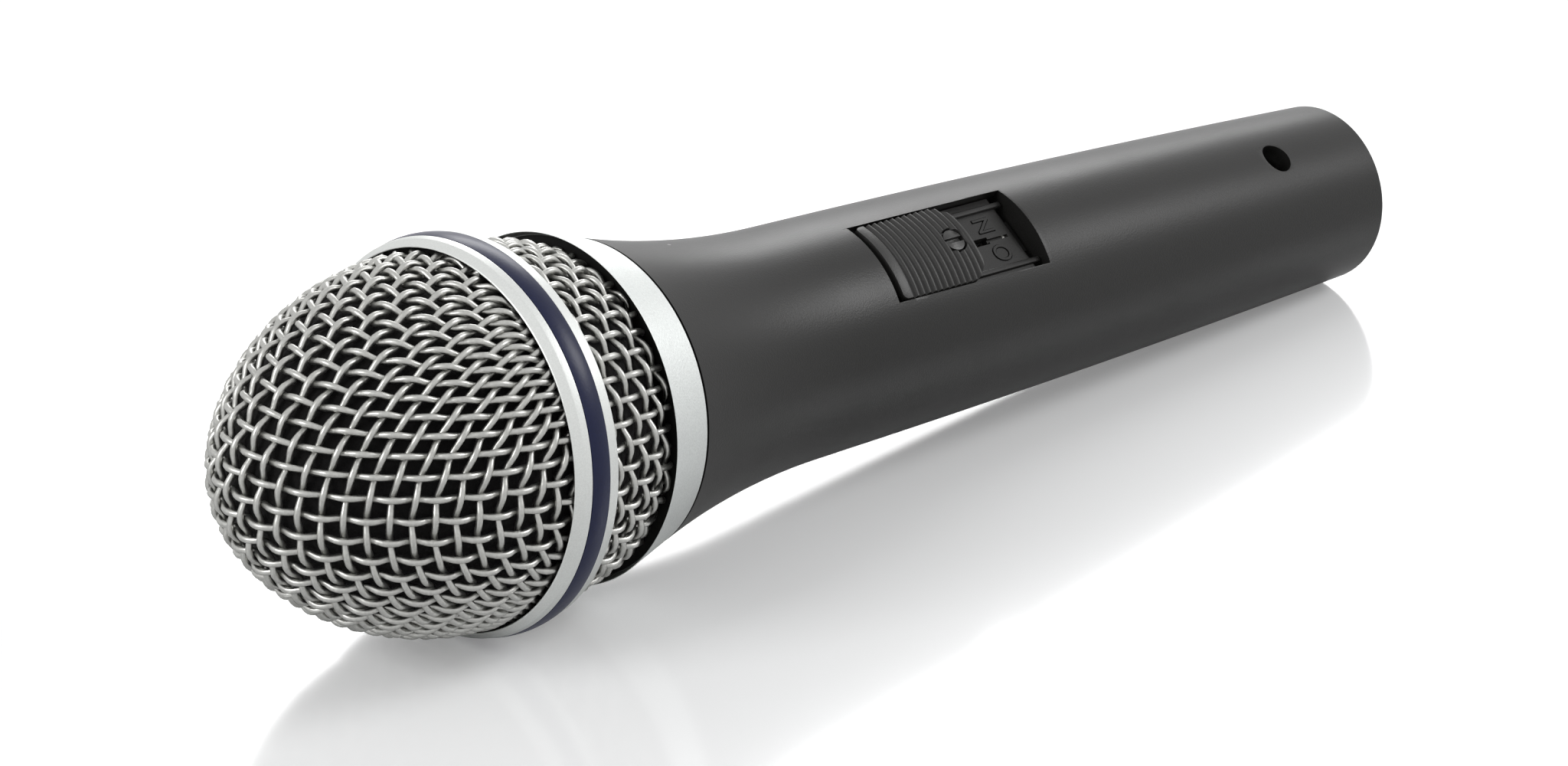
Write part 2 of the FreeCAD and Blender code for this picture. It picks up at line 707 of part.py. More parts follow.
def make_tray():
    length = "slot_length - 2 * tray_gap"
    width = "slot_width - 2 * tray_gap"
    plate = box("tray_plate", "slot_start + tray_gap", "0", "tray_bottom", length, width, "tray_thickness")
    rails = [box(f"tray_rail_{side}", "slot_start + tray_gap", f"{side} * rail_offset", "tray_bottom", length,
                 "rail_width", "tray_thickness + rail_height") for side in (1, -1)]
    front = box("tray_front_tongue", "slot_start - tongue_length", "0", "tray_bottom",
                "tongue_length + 1", "tongue_width", "tongue_thickness")
    back = box("tray_back_tongue", "slot_end - tray_gap - tongue_step", "0", "tray_bottom - tongue_step",
               "tongue_length + tray_gap + tongue_step", "tongue_width", "tongue_thickness")
    track = box("tray_track", "lever_front - carriage_gap", "0", "tray_bottom - 1",
                "lever_length + slider_travel + 2 * carriage_gap", "lever_slot_width", "tray_thickness + 2")
    bores = [rod(f"tray_bore_{number}", x, "0", "tray_bottom - 1", "ear_screw_radius + seat_gap / 2",
                 "1 + ear_thread") for number, x in enumerate(EAR_SCREWS)]
    keep(cut("switch_tray", join("tray_solid", [plate, *rails, front, back]), [track, *bores]), "switch_tray")


EAR_SCREWS = ("frame_front + ear_length / 2", "frame_back - ear_length / 2")


def make_switch():
    make_tray()
    length = "frame_back - frame_front"
    plate = box("frame_plate", "frame_front", "0", "frame_bottom", length, "frame_width", "frame_thickness")
    track = box("frame_track", "lever_front - carriage_gap", "0", "frame_bottom - 1",
                "lever_length + slider_travel + 2 * carriage_gap", "lever_slot_width", "frame_thickness + 2")
    bores = [rod(f"frame_bore_{number}", x, "0", "frame_bottom - 1", "ear_screw_radius + seat_gap",
                 "frame_thickness + 2") for number, x in enumerate(EAR_SCREWS)]
    keep(cut("switch_frame", plate, [track, *bores]), "switch_frame")
    screws = []
    for number, x in enumerate(EAR_SCREWS):
        head = rod(f"ear_head_{number}", x, "0", "frame_bottom - ear_head_height", "ear_head_radius",
                   "ear_head_height")
        shank = rod(f"ear_shank_{number}", x, "0", "frame_bottom - ear_head_height", "ear_screw_radius",
                    "ear_head_height + frame_thickness + ear_thread - seat_gap")
        slot = box(f"ear_slot_{number}", f"{x} - ear_head_radius", "0", "frame_bottom - ear_head_height",
                   "2 * ear_head_radius", "ear_screw_radius / 2", "ear_head_height / 2")
        screws.append(cut(f"ear_screw_{number}", join(f"ear_solid_{number}", [head, shank]), [slot]))
    keep(group("frame_screws", screws), "frame_screws")
    make_switch_body()
    make_slider()
    make_lever()


def make_switch_body():
    block = box("switch_block", "switch_front", "0", "switch_bottom", "switch_length", "switch_width",
                "switch_depth")
    room = box("switch_room", "switch_front + switch_wall", "0", "switch_floor",
               "switch_length - 2 * switch_wall", "switch_width - 2 * switch_wall", "switch_depth")
    lugs = []
    bores = []
    for column in (-1, 0, 1):
        for side in (-1, 1):
            x = f"terminal_middle + {column} * terminal_pitch - terminal_thickness / 2"
            name = f"{column + 2}_{side + 2}"
            lugs.append(box(f"terminal_{name}", x, f"{side} * terminal_spread", "terminal_bottom",
                            "terminal_thickness", "terminal_width", "terminal_length"))
            bores.append(box(f"terminal_bore_{name}", f"{x} - seat_gap / 2", f"{side} * terminal_spread",
                             "switch_bottom - 1", "terminal_thickness + seat_gap",
                             "terminal_width + seat_gap", "switch_wall + 2"))
    keep(cut("switch_body", block, [room, *bores]), "switch_body")
    keep(group("switch_terminals", lugs), "switch_terminals")


def make_slider():
    ribs = []
    for number in range(int(value("rib_count"))):
        front = f"slider_back - slider_round / 4 - {number + 1} * rib_pitch"
        ribs += [
            (f"{front} + rib_pitch * 0.9", "slider_crest_radius"),
            (f"{front} + rib_pitch * 0.65", "slider_crest_radius - rib_depth"),
            (f"{front} + rib_pitch * 0.35", "slider_crest_radius - rib_depth"),
            (f"{front} + rib_pitch * 0.1", "slider_crest_radius"),
        ]
    drum = turned("slider_drum", [
        ("slider_front - 1", "slider_bottom / 2"),
        ("slider_back + 1", "slider_bottom / 2"),
        ("slider_back + 1", "slider_crest_radius"),
        *ribs,
        ("slider_front - 1", "slider_crest_radius"),
    ])
    plan = doc.addObject("PartDesign::Body", "slider_plan")
    sketch = plane_sketch(plan, "slider_outline", "XY_Plane")
    draw(sketch, rounded_plan("slider_front", "slider_back", "slider_width", "slider_head_round", "slider_round"))
    pad = plan.newObject("PartDesign::Pad", "slider_pad")
    pad.Profile = sketch
    bind(pad, Length="slider_crest_radius + 1")
    cap = doc.addObject("Part::Common", "slider_cap")
    cap.Base = plan
    cap.Tool = drum
    under = box("slider_under", "slider_front - 1", "0", "0", "slider_length + 2", "slider_width + 2",
                "slider_bottom")
    grip = box("slider_grip", "lever_front - seat_gap / 2", "0", "slider_bottom - 1", "lever_length + seat_gap",
               "lever_thickness + seat_gap", "lever_grip + 1 + seat_gap / 2")
    seat = rod("lock_head_seat", "lock_screw_x", "0", "slider_crest_radius - lock_head_height",
               "lock_head_radius + running_gap", "lock_head_height + 1")
    bore = rod("lock_shank_bore", "lock_screw_x", "0", "slider_bottom - 1", "lock_shank_radius + running_gap",
               "slider_crest_radius")
    keep(cut("switch_slider", cap, [under, grip, seat, bore]), "switch_slider")
    head = rod("lock_head", "lock_screw_x", "0", "slider_crest_radius - lock_head_height", "lock_head_radius",
               "lock_head_height - seat_gap")
    shank = rod("lock_shank", "lock_screw_x", "0", "tray_height + slider_rest_gap / 2", "lock_shank_radius",
                "slider_crest_radius - lock_head_height - tray_height - slider_rest_gap / 2")
    slot = box("lock_driver_slot", "lock_screw_x - lock_head_radius", "0",
               "slider_crest_radius - seat_gap - driver_slot_depth", "2 * lock_head_radius", "driver_slot_width",
               "1 + driver_slot_depth")
    keep(cut("lock_screw", join("lock_screw_solid", [head, shank]), [slot]), "lock_screw")


def make_lever():
    blade = box("lever_blade", "lever_front", "0", "carriage_top - 1", "lever_length", "lever_thickness",
                "lever_top - carriage_top + 1")
    carriage = box("lever_carriage", "carriage_front", "0", "carriage_bottom", "carriage_length",
                   "carriage_width", "carriage_height")
    keep(join("switch_lever", [blade, carriage]), "switch_lever")
    bridges = [box(f"bridge_{side}", "carriage_front", f"{side} * terminal_spread", "bridge_bottom",
                   "carriage_length", "terminal_width", "bridge_thickness") for side in (1, -1)]
    keep(group("bridge_contacts", bridges), "bridge_contacts")


# ---- connector ----

def contact_place(number):
    """Contacts 1 and 2 stand on either side and contact 3 below, a quarter turn apart."""
    return [("contact_circle", "0"), ("-contact_circle", "0"), ("0", "-contact_circle")][number - 1]


def make_connector():
    blank = rod("insert_blank", "insert_start", "0", "0", "insert_radius", "insert_length", ALONG_AXIS)
    holes = []
    for number in (1, 2, 3):
        y, z = contact_place(number)
        holes.append(rod(f"contact_hole_{number}", "insert_start - 1", y, z, "contact_shank_radius + seat_gap / 2",
                         "insert_length + 2", ALONG_AXIS))
        shank = rod(f"contact_shank_{number}", "contact_start", y, z, "contact_shank_radius",
                    "contact_shank_end - contact_start", ALONG_AXIS)
        body = rod(f"contact_body_{number}", "contact_shank_end", y, z, "contact_radius",
                   "contact_end - contact_round - contact_shank_end", ALONG_AXIS)
        tip = doc.addObject("Part::Cone", f"contact_tip_{number}")
        tip.Placement = Placement(Vector(0, 0, 0), ALONG_AXIS)
        bind(tip, Radius1="contact_radius", Radius2="contact_radius - contact_round", Height="contact_round")
        put_at(tip, "contact_end - contact_round", y, z)
        cup = rod(f"contact_cup_{number}", "contact_start", y, z, "cup_radius", "cup_depth", ALONG_AXIS)
        pin = cut(f"contact_pin_{number}", join(f"contact_solid_{number}", [shank, body, tip]), [cup])
        keep(pin, f"contact_pin_{number}")
    thread = rod("set_screw_bore", "set_screw_x", "0", "set_screw_bottom - seat_gap",
                 "set_screw_radius + running_gap", "set_screw_length + 1")
    keep(cut("connector_insert", blank, [*holes, thread]), "connector_insert")
    screw = rod("set_screw_body", "set_screw_x", "0", "set_screw_bottom", "set_screw_radius", "set_screw_length")
    slot = box("set_screw_slot", "set_screw_x - set_screw_radius", "0", "set_screw_top - driver_slot_depth",
               "2 * set_screw_radius", "driver_slot_width / 2", "1 + driver_slot_depth")
    keep(cut("set_screw", screw, [slot]), "set_screw")
    y, z = contact_place(1)
    inner = f"{y} - 2 * contact_radius"
    outer = "sqrt(seat_radius ^ 2 - (ground_tab_width / 2) ^ 2) - seat_gap"
    tab = box("ground_strip", "insert_start - ground_tab_thickness", f"({inner} + {outer}) / 2",
              "-ground_tab_width / 2", "ground_tab_thickness", f"{outer} - ({inner})", "ground_tab_width")
    pin_hole = rod("ground_hole", "insert_start - 2 * ground_tab_thickness", y, z,
                   "contact_shank_radius + seat_gap / 2", "3 * ground_tab_thickness", ALONG_AXIS)
    keep(cut("ground_tab", tab, [pin_hole]), "ground_tab")


# ---- leads ----

def lead(label, route, share=0.45):
    """An insulated wire: straight runs joined by arcs as large as their runs allow."""
    points = [Vector(*(value(text) for text in place)) for place in route]
    edges = []
    start = points[0]
    for before, corner, after in zip(points, points[1:], points[2:]):
        run_in, run_out = corner - before, after - corner
        reach = share * min(run_in.Length, run_out.Length)
        first = corner - run_in.normalize() * reach
        last = corner + run_out.normalize() * reach
        half_turn = run_in.getAngle(run_out) / 2
        bisector = (run_out - run_in).normalize()
        radius = reach / math.tan(half_turn)
        middle = corner + bisector * (radius / math.cos(half_turn) - radius)
        edges += [Part.LineSegment(start, first).toShape(), Part.Arc(first, middle, last).toShape()]
        start = last
    edges.append(Part.LineSegment(start, points[-1]).toShape())
    path = Part.Wire(edges)
    section = Part.Wire(Part.Circle(points[0], points[1] - points[0], value("lead_radius")).toShape())
    wire = doc.addObject("Part::Feature", label)
    wire.Shape = path.makePipeShell([section], True, True)
    wire.Placement = Placement()
    keep(wire, label)


def make_leads():
    for name, side in (("hot", "1"), ("cold", "-1")):
        capsule_end = ("board_end + lug_length", f"{side} * lug_spread", "0")
        entry = "terminal_middle - terminal_pitch"
        exit_row = "terminal_middle + terminal_pitch"
        under = "terminal_bottom - lead_sag"
        lead(f"capsule_lead_{name}", [
            capsule_end,
            ("board_end + lug_length + lead_sag", f"{side} * lug_spread", "0"),
            (f"{entry} - 2 * lead_sag", f"{side} * terminal_spread", under),
            (entry, f"{side} * terminal_spread", under),
            (entry, f"{side} * terminal_spread", "terminal_bottom"),
        ])
        y, z = contact_place(2) if name == "hot" else contact_place(3)
        lead(f"output_lead_{name}", [
            (exit_row, f"{side} * terminal_spread", "terminal_bottom"),
            (exit_row, f"{side} * terminal_spread", under),
            (f"{exit_row} + 2 * lead_sag", f"{side} * terminal_spread", under),
            ("contact_start - 2 * lead_sag", y, z),
            ("contact_start + cup_depth", y, z),
        ])


# ---- the whole microphone ----

def check_model():
    for thing in doc.Objects:
        if "Invalid" in thing.State or "Error" in thing.State:
            raise RuntimeError(f"{thing.Label} did not build: {thing.State}")
    for piece in pieces:
        if piece.Shape.isNull() or not piece.Shape.isValid() or not piece.Shape.Solids:
            raise RuntimeError(f"{piece.Label} has no valid solid")


def export_pieces():
    os.makedirs("parts", exist_ok=True)
    for piece in pieces:
        piece.Shape.exportStep(os.path.join("parts", f"{piece.Label}.step"))
        print(f"{piece.Label}: {len(piece.Shape.Solids)} solid, {piece.Shape.Volume:.1f} mm3")


fill_sheet()
make_grille()
make_foam()
make_handle()
make_capsule()
make_switch()
make_connector()
make_leads()
doc.recompute()
check_model()
export_pieces()
for name in ("rest_tilt", "axis_height", "nose_x"):
    print(f"{name}: {value(name):.4f}")
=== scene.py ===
import json
import math

import bpy
from mathutils import Matrix, Vector


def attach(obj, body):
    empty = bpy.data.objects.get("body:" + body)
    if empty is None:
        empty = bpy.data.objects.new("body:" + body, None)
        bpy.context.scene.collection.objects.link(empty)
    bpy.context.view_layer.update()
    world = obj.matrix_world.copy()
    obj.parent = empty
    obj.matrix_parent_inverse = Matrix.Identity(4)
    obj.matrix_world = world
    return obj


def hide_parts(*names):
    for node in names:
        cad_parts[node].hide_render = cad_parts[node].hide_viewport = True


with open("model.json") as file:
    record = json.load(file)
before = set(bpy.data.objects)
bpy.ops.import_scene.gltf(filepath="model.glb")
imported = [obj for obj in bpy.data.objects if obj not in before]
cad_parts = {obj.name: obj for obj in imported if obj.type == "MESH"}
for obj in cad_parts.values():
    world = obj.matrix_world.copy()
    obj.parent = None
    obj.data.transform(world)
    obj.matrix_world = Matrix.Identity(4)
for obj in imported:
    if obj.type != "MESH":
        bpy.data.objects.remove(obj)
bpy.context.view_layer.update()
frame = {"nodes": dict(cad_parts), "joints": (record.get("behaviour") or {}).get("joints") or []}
print("frame loaded")

mm = 0.001
nodes = frame["nodes"]
joints = {joint["name"]: joint for joint in frame["joints"]}


# ---- the microphone's own frame: +X runs from the nose to the tail, +Z points at the switch ----

tailward = -Vector(joints["head_unscrew"]["axis"]).normalized()
sideways = Vector(joints["lock_screw_turn"]["axis"]).cross(tailward).normalized()
upward = tailward.cross(sideways)
axisPoint = Vector(joints["head_unscrew"]["pos_m"])


def reachOf(node):  # nearest and farthest point of a node along the axis, from axisPoint
    along = [(vertex.co - axisPoint).dot(tailward) for vertex in nodes[node].data.vertices]
    return min(along), max(along)


nose = axisPoint + tailward * reachOf("front_grille")[0]
micPlace = Matrix.Translation(nose) @ Matrix((tailward, sideways, upward)).transposed().to_4x4()


# ---- small helpers ----

def deselectAll():
    if bpy.context.mode != "OBJECT":
        bpy.ops.object.mode_set(mode="OBJECT")
    bpy.ops.object.select_all(action="DESELECT")


def pick(*pieces):
    deselectAll()
    for piece in pieces:
        piece.select_set(True)
    bpy.context.view_layer.objects.active = pieces[-1]


def applyModifier(piece, kind, **settings):
    pick(piece)
    modifier = piece.modifiers.new(kind.title(), kind)
    for name, setting in settings.items():
        setattr(modifier, name, setting)
    bpy.ops.object.modifier_apply(modifier=modifier.name)


def smoothBy(piece, degrees):
    pick(piece)
    bpy.ops.object.shade_smooth_by_angle(angle=math.radians(degrees))


def softenEdges(piece, width, segments=2, degrees=30):  # width in millimetres
    applyModifier(piece, "BEVEL", width=width * mm, segments=segments, limit_method="ANGLE",
                  angle_limit=math.radians(degrees), harden_normals=False, use_clamp_overlap=True)


def layDown(piece):  # from the microphone's own frame to where it lies
    pick(piece)
    piece.matrix_world = micPlace @ piece.matrix_world
    bpy.ops.object.transform_apply(location=True, rotation=True, scale=True)
    return piece


def turned(name, outline, segments=192, degrees=35):  # a closed outline of (along, out), spun about the axis
    deselectAll()
    bpy.ops.mesh.primitive_circle_add(vertices=len(outline), radius=mm, location=(0, 0, 0))
    piece = bpy.context.object
    piece.name = name
    for vertex, (along, out) in zip(piece.data.vertices, outline):
        vertex.co = (along * mm, 0, out * mm)
    bpy.ops.object.mode_set(mode="EDIT")
    bpy.ops.mesh.select_all(action="SELECT")
    bpy.ops.mesh.spin(steps=segments, angle=2 * math.pi, center=(0, 0, 0), axis=(1, 0, 0))
    bpy.ops.mesh.select_all(action="SELECT")
    bpy.ops.mesh.remove_doubles(threshold=0.002 * mm)
    bpy.ops.mesh.delete_loose(use_verts=True, use_edges=True, use_faces=False)
    bpy.ops.mesh.select_all(action="SELECT")
    bpy.ops.mesh.normals_make_consistent(inside=False)
    bpy.ops.object.mode_set(mode="OBJECT")
    smoothBy(piece, degrees)
    return piece


def block(name, front, back, width, bottom, top, side=0.0, rounding=0.0):
    deselectAll()
    bpy.ops.mesh.primitive_cube_add(size=1, location=((front + back) / 2 * mm, side * mm, (bottom + top) / 2 * mm),
                                    scale=((back - front) * mm, width * mm, (top - bottom) * mm))
    piece = bpy.context.object
    piece.name = name
    bpy.ops.object.transform_apply(location=True, rotation=True, scale=True)
    if rounding:
        softenEdges(piece, rounding, segments=3)
    return piece


def post(name, along, side, bottom, top, radius, vertices=48):  # a round post that stands up from the axis
    deselectAll()
    bpy.ops.mesh.primitive_cylinder_add(vertices=vertices, radius=radius * mm, depth=(top - bottom) * mm,
                                        location=(along * mm, side * mm, (bottom + top) / 2 * mm))
    piece = bpy.context.object
    piece.name = name
    bpy.ops.object.transform_apply(location=True, rotation=True, scale=True)
    return piece


def cutOut(piece, *tools, operation="DIFFERENCE"):
    for tool in tools:
        applyModifier(piece, "BOOLEAN", operation=operation, solver="EXACT", object=tool)
        bpy.data.objects.remove(tool)
    return piece


def joined(name, *parts):
    pick(*parts)
    bpy.ops.object.join()
    bpy.context.object.name = name
    return bpy.context.object


def arcBetween(start, end, radius, count):  # points of the short arc: left turn for a positive radius
    start, end = Vector(start), Vector(end)
    chord = end - start
    left = Vector((-chord.y, chord.x)).normalized()
    height = math.sqrt(radius ** 2 - (chord.length / 2) ** 2)
    centre = (start + end) / 2 + left * math.copysign(height, radius)
    first, last = start - centre, end - centre
    sweep = math.atan2(first.x * last.y - first.y * last.x, first.dot(last))
    points = []
    for step in range(count + 1):
        turn = Matrix.Rotation(sweep * step / count, 2)
        points.append(tuple(centre + turn @ first))
    return points


# ---- shader groups ----

def newGroup(name, inputs, outputs):
    group = bpy.data.node_groups.new(name, "ShaderNodeTree")
    for label, kind, start in inputs:
        socket = group.interface.new_socket(label, in_out="INPUT", socket_type=kind)
        socket.default_value = start
    for label, kind in outputs:
        group.interface.new_socket(label, in_out="OUTPUT", socket_type=kind)
    return group, group.nodes.new("NodeGroupInput"), group.nodes.new("NodeGroupOutput")


def addNode(tree, kind, links=None, **settings):
    node = tree.nodes.new(kind)
    for name, setting in settings.items():
        if name.startswith("in_"):
            label = name[3:]
            node.inputs[int(label) if label.isdigit() else label].default_value = setting
        else:
            setattr(node, name, setting)
    for label, source in (links or {}).items():
        tree.links.new(source, node.inputs[label])
    return node


def makeGrain():  # fine powder-coat grain: a height and a small change of tone
    group, given, out = newGroup("powderGrain", [("Place", "NodeSocketVector", (0, 0, 0)),
                                                 ("Size", "NodeSocketFloat", 3000.0)],
                                 [("Height", "NodeSocketFloat"), ("Tone", "NodeSocketFloat")])
    fine = addNode(group, "ShaderNodeTexNoise", {"Vector": given.outputs["Place"], "Scale": given.outputs["Size"]},
                   in_Detail=3.0, in_Roughness=0.6)
    cells = addNode(group, "ShaderNodeTexVoronoi", {"Vector": given.outputs["Place"],
                                                    "Scale": given.outputs["Size"]}, feature="F1")
    height = addNode(group, "ShaderNodeMath", {0: fine.outputs["Fac"], 1: cells.outputs["Distance"]},
                     operation="ADD")
    tone = addNode(group, "ShaderNodeMapRange", {"Value": fine.outputs["Fac"]}, in_1=0.3, in_2=0.7, in_3=0.0,
                   in_4=1.0)
    group.links.new(height.outputs[0], out.inputs["Height"])
    group.links.new(tone.outputs[0], out.inputs["Tone"])
    return group


def makeHandling():  # where hands and cloths have polished or dulled a surface, from 0 to 1
    group, given, out = newGroup("handling", [("Place", "NodeSocketVector", (0, 0, 0)),
                                              ("Size", "NodeSocketFloat", 40.0)],
                                 [("Dull", "NodeSocketFloat")])
    broad = addNode(group, "ShaderNodeTexNoise", {"Vector": given.outputs["Place"], "Scale": given.outputs["Size"]},
                    in_Detail=4.0, in_Roughness=0.55)
    even = addNode(group, "ShaderNodeMapRange", {"Value": broad.outputs["Fac"]}, in_1=0.35, in_2=0.65)
    group.links.new(even.outputs[0], out.inputs["Dull"])
    return group


def makeSpecks():  # a few tiny pale specks of dust
    group, given, out = newGroup("dustSpecks", [("Place", "NodeSocketVector", (0, 0, 0)),
                                                ("Spacing", "NodeSocketFloat", 180.0),
                                                ("Share", "NodeSocketFloat", 0.06)],
                                 [("Mask", "NodeSocketFloat")])
    cells = addNode(group, "ShaderNodeTexVoronoi", {"Vector": given.outputs["Place"],
                                                    "Scale": given.outputs["Spacing"]}, feature="F1")
    spot = addNode(group, "ShaderNodeMath", {0: cells.outputs["Distance"]}, operation="LESS_THAN", in_1=0.045)
    chosen = addNode(group, "ShaderNodeSeparateColor", {"Color": cells.outputs["Color"]})
    rare = addNode(group, "ShaderNodeMath", {0: chosen.outputs[0], 1: given.outputs["Share"]},
                   operation="LESS_THAN")
    both = addNode(group, "ShaderNodeMath", {0: spot.outputs[0], 1: rare.outputs[0]}, operation="MULTIPLY")
    group.links.new(both.outputs[0], out.inputs["Mask"])
    return group


def makeTurning():  # fine rings left by the lathe, about the microphone's axis
    group, given, out = newGroup("latheRings", [("Place", "NodeSocketVector", (0, 0, 0)),
                                                ("Pitch", "NodeSocketFloat", 4000.0)],
                                 [("Height", "NodeSocketFloat")])
    parts = addNode(group, "ShaderNodeSeparateXYZ", {"Vector": given.outputs["Place"]})
    line = addNode(group, "ShaderNodeCombineXYZ", {"X": parts.outputs["X"]})
    rings = addNode(group, "ShaderNodeTexNoise", {"Vector": line.outputs[0], "Scale": given.outputs["Pitch"]},
                    in_Detail=2.0)
    group.links.new(rings.outputs["Fac"], out.inputs["Height"])
    return group


powderGrain, handling, dustSpecks, latheRings = makeGrain(), makeHandling(), makeSpecks(), makeTurning()
axisTurn = Matrix((tailward, sideways, upward)).to_euler()


def useGroup(tree, group, links, **settings):
    node = tree.nodes.new("ShaderNodeGroup")
    node.node_tree = group
    for label, setting in settings.items():
        node.inputs[label.replace("_", " ")].default_value = setting
    for label, source in links.items():
        tree.links.new(source, node.inputs[label])
    return node


def finish(name, look):
    material = bpy.data.materials.new(name)
    material.use_nodes = True
    tree = material.node_tree
    tree.nodes.clear()
    out = tree.nodes.new("ShaderNodeOutputMaterial")
    shader = tree.nodes.new("ShaderNodeBsdfPrincipled")
    tree.links.new(shader.outputs[0], out.inputs["Surface"])
    place = addNode(tree, "ShaderNodeTexCoord").outputs["Object"]
    grain = useGroup(tree, powderGrain, {"Place": place}, Size=look["grainSize"])
    worn = useGroup(tree, handling, {"Place": place}, Size=look.get("wearSize", 40.0))
    tone = look["tone"]
    dark, light = [(*[channel * (1 + sign * tone) for channel in look["colour"]], 1) for sign in (-1, 1)]
    colour = addNode(tree, "ShaderNodeMix", {"Factor": grain.outputs["Tone"]}, data_type="RGBA")
    colour.inputs["A"].default_value, colour.inputs["B"].default_value = dark, light
    top = colour.outputs["Result"]
    if "dust" in look:
        specks = useGroup(tree, dustSpecks, {"Place": place}, Share=look["dust"])
        dusty = addNode(tree, "ShaderNodeMix", {"Factor": specks.outputs["Mask"], "A": top}, data_type="RGBA")
        dusty.inputs["B"].default_value = (0.32, 0.31, 0.3, 1)
        top = dusty.outputs["Result"]
    tree.links.new(top, shader.inputs["Base Color"])
    rough = addNode(tree, "ShaderNodeMapRange", {"Value": worn.outputs["Dull"]}, in_3=look["rough"][0],
                    in_4=look["rough"][1])
    tree.links.new(rough.outputs[0], shader.inputs["Roughness"])
    height = grain.outputs["Height"]
    if "rings" in look:
        turn = addNode(tree, "ShaderNodeMapping", {"Vector": place})
        turn.inputs["Rotation"].default_value = axisTurn
        lathe = useGroup(tree, latheRings, {"Place": turn.outputs[0]}, Pitch=look["rings"])
        height = addNode(tree, "ShaderNodeMath", {0: height, 1: lathe.outputs["Height"]}, operation="ADD").outputs[0]
    bump = addNode(tree, "ShaderNodeBump", {"Height": height}, in_Strength=look["bump"], in_Distance=0.0001)
    tree.links.new(bump.outputs[0], shader.inputs["Normal"])
    shader.inputs["Metallic"].default_value = look.get("metal", 0.0)
    shader.inputs["Specular IOR Level"].default_value = look.get("specular", 0.5)
    shader.inputs["Sheen Weight"].default_value = look.get("sheen", 0.0)
    shader.inputs["Sheen Roughness"].default_value = 0.5
    shader.inputs["Transmission Weight"].default_value = look.get("clear", 0.0)
    return material


def dress(piece, material):
    piece.data.materials.clear()
    piece.data.materials.append(material)


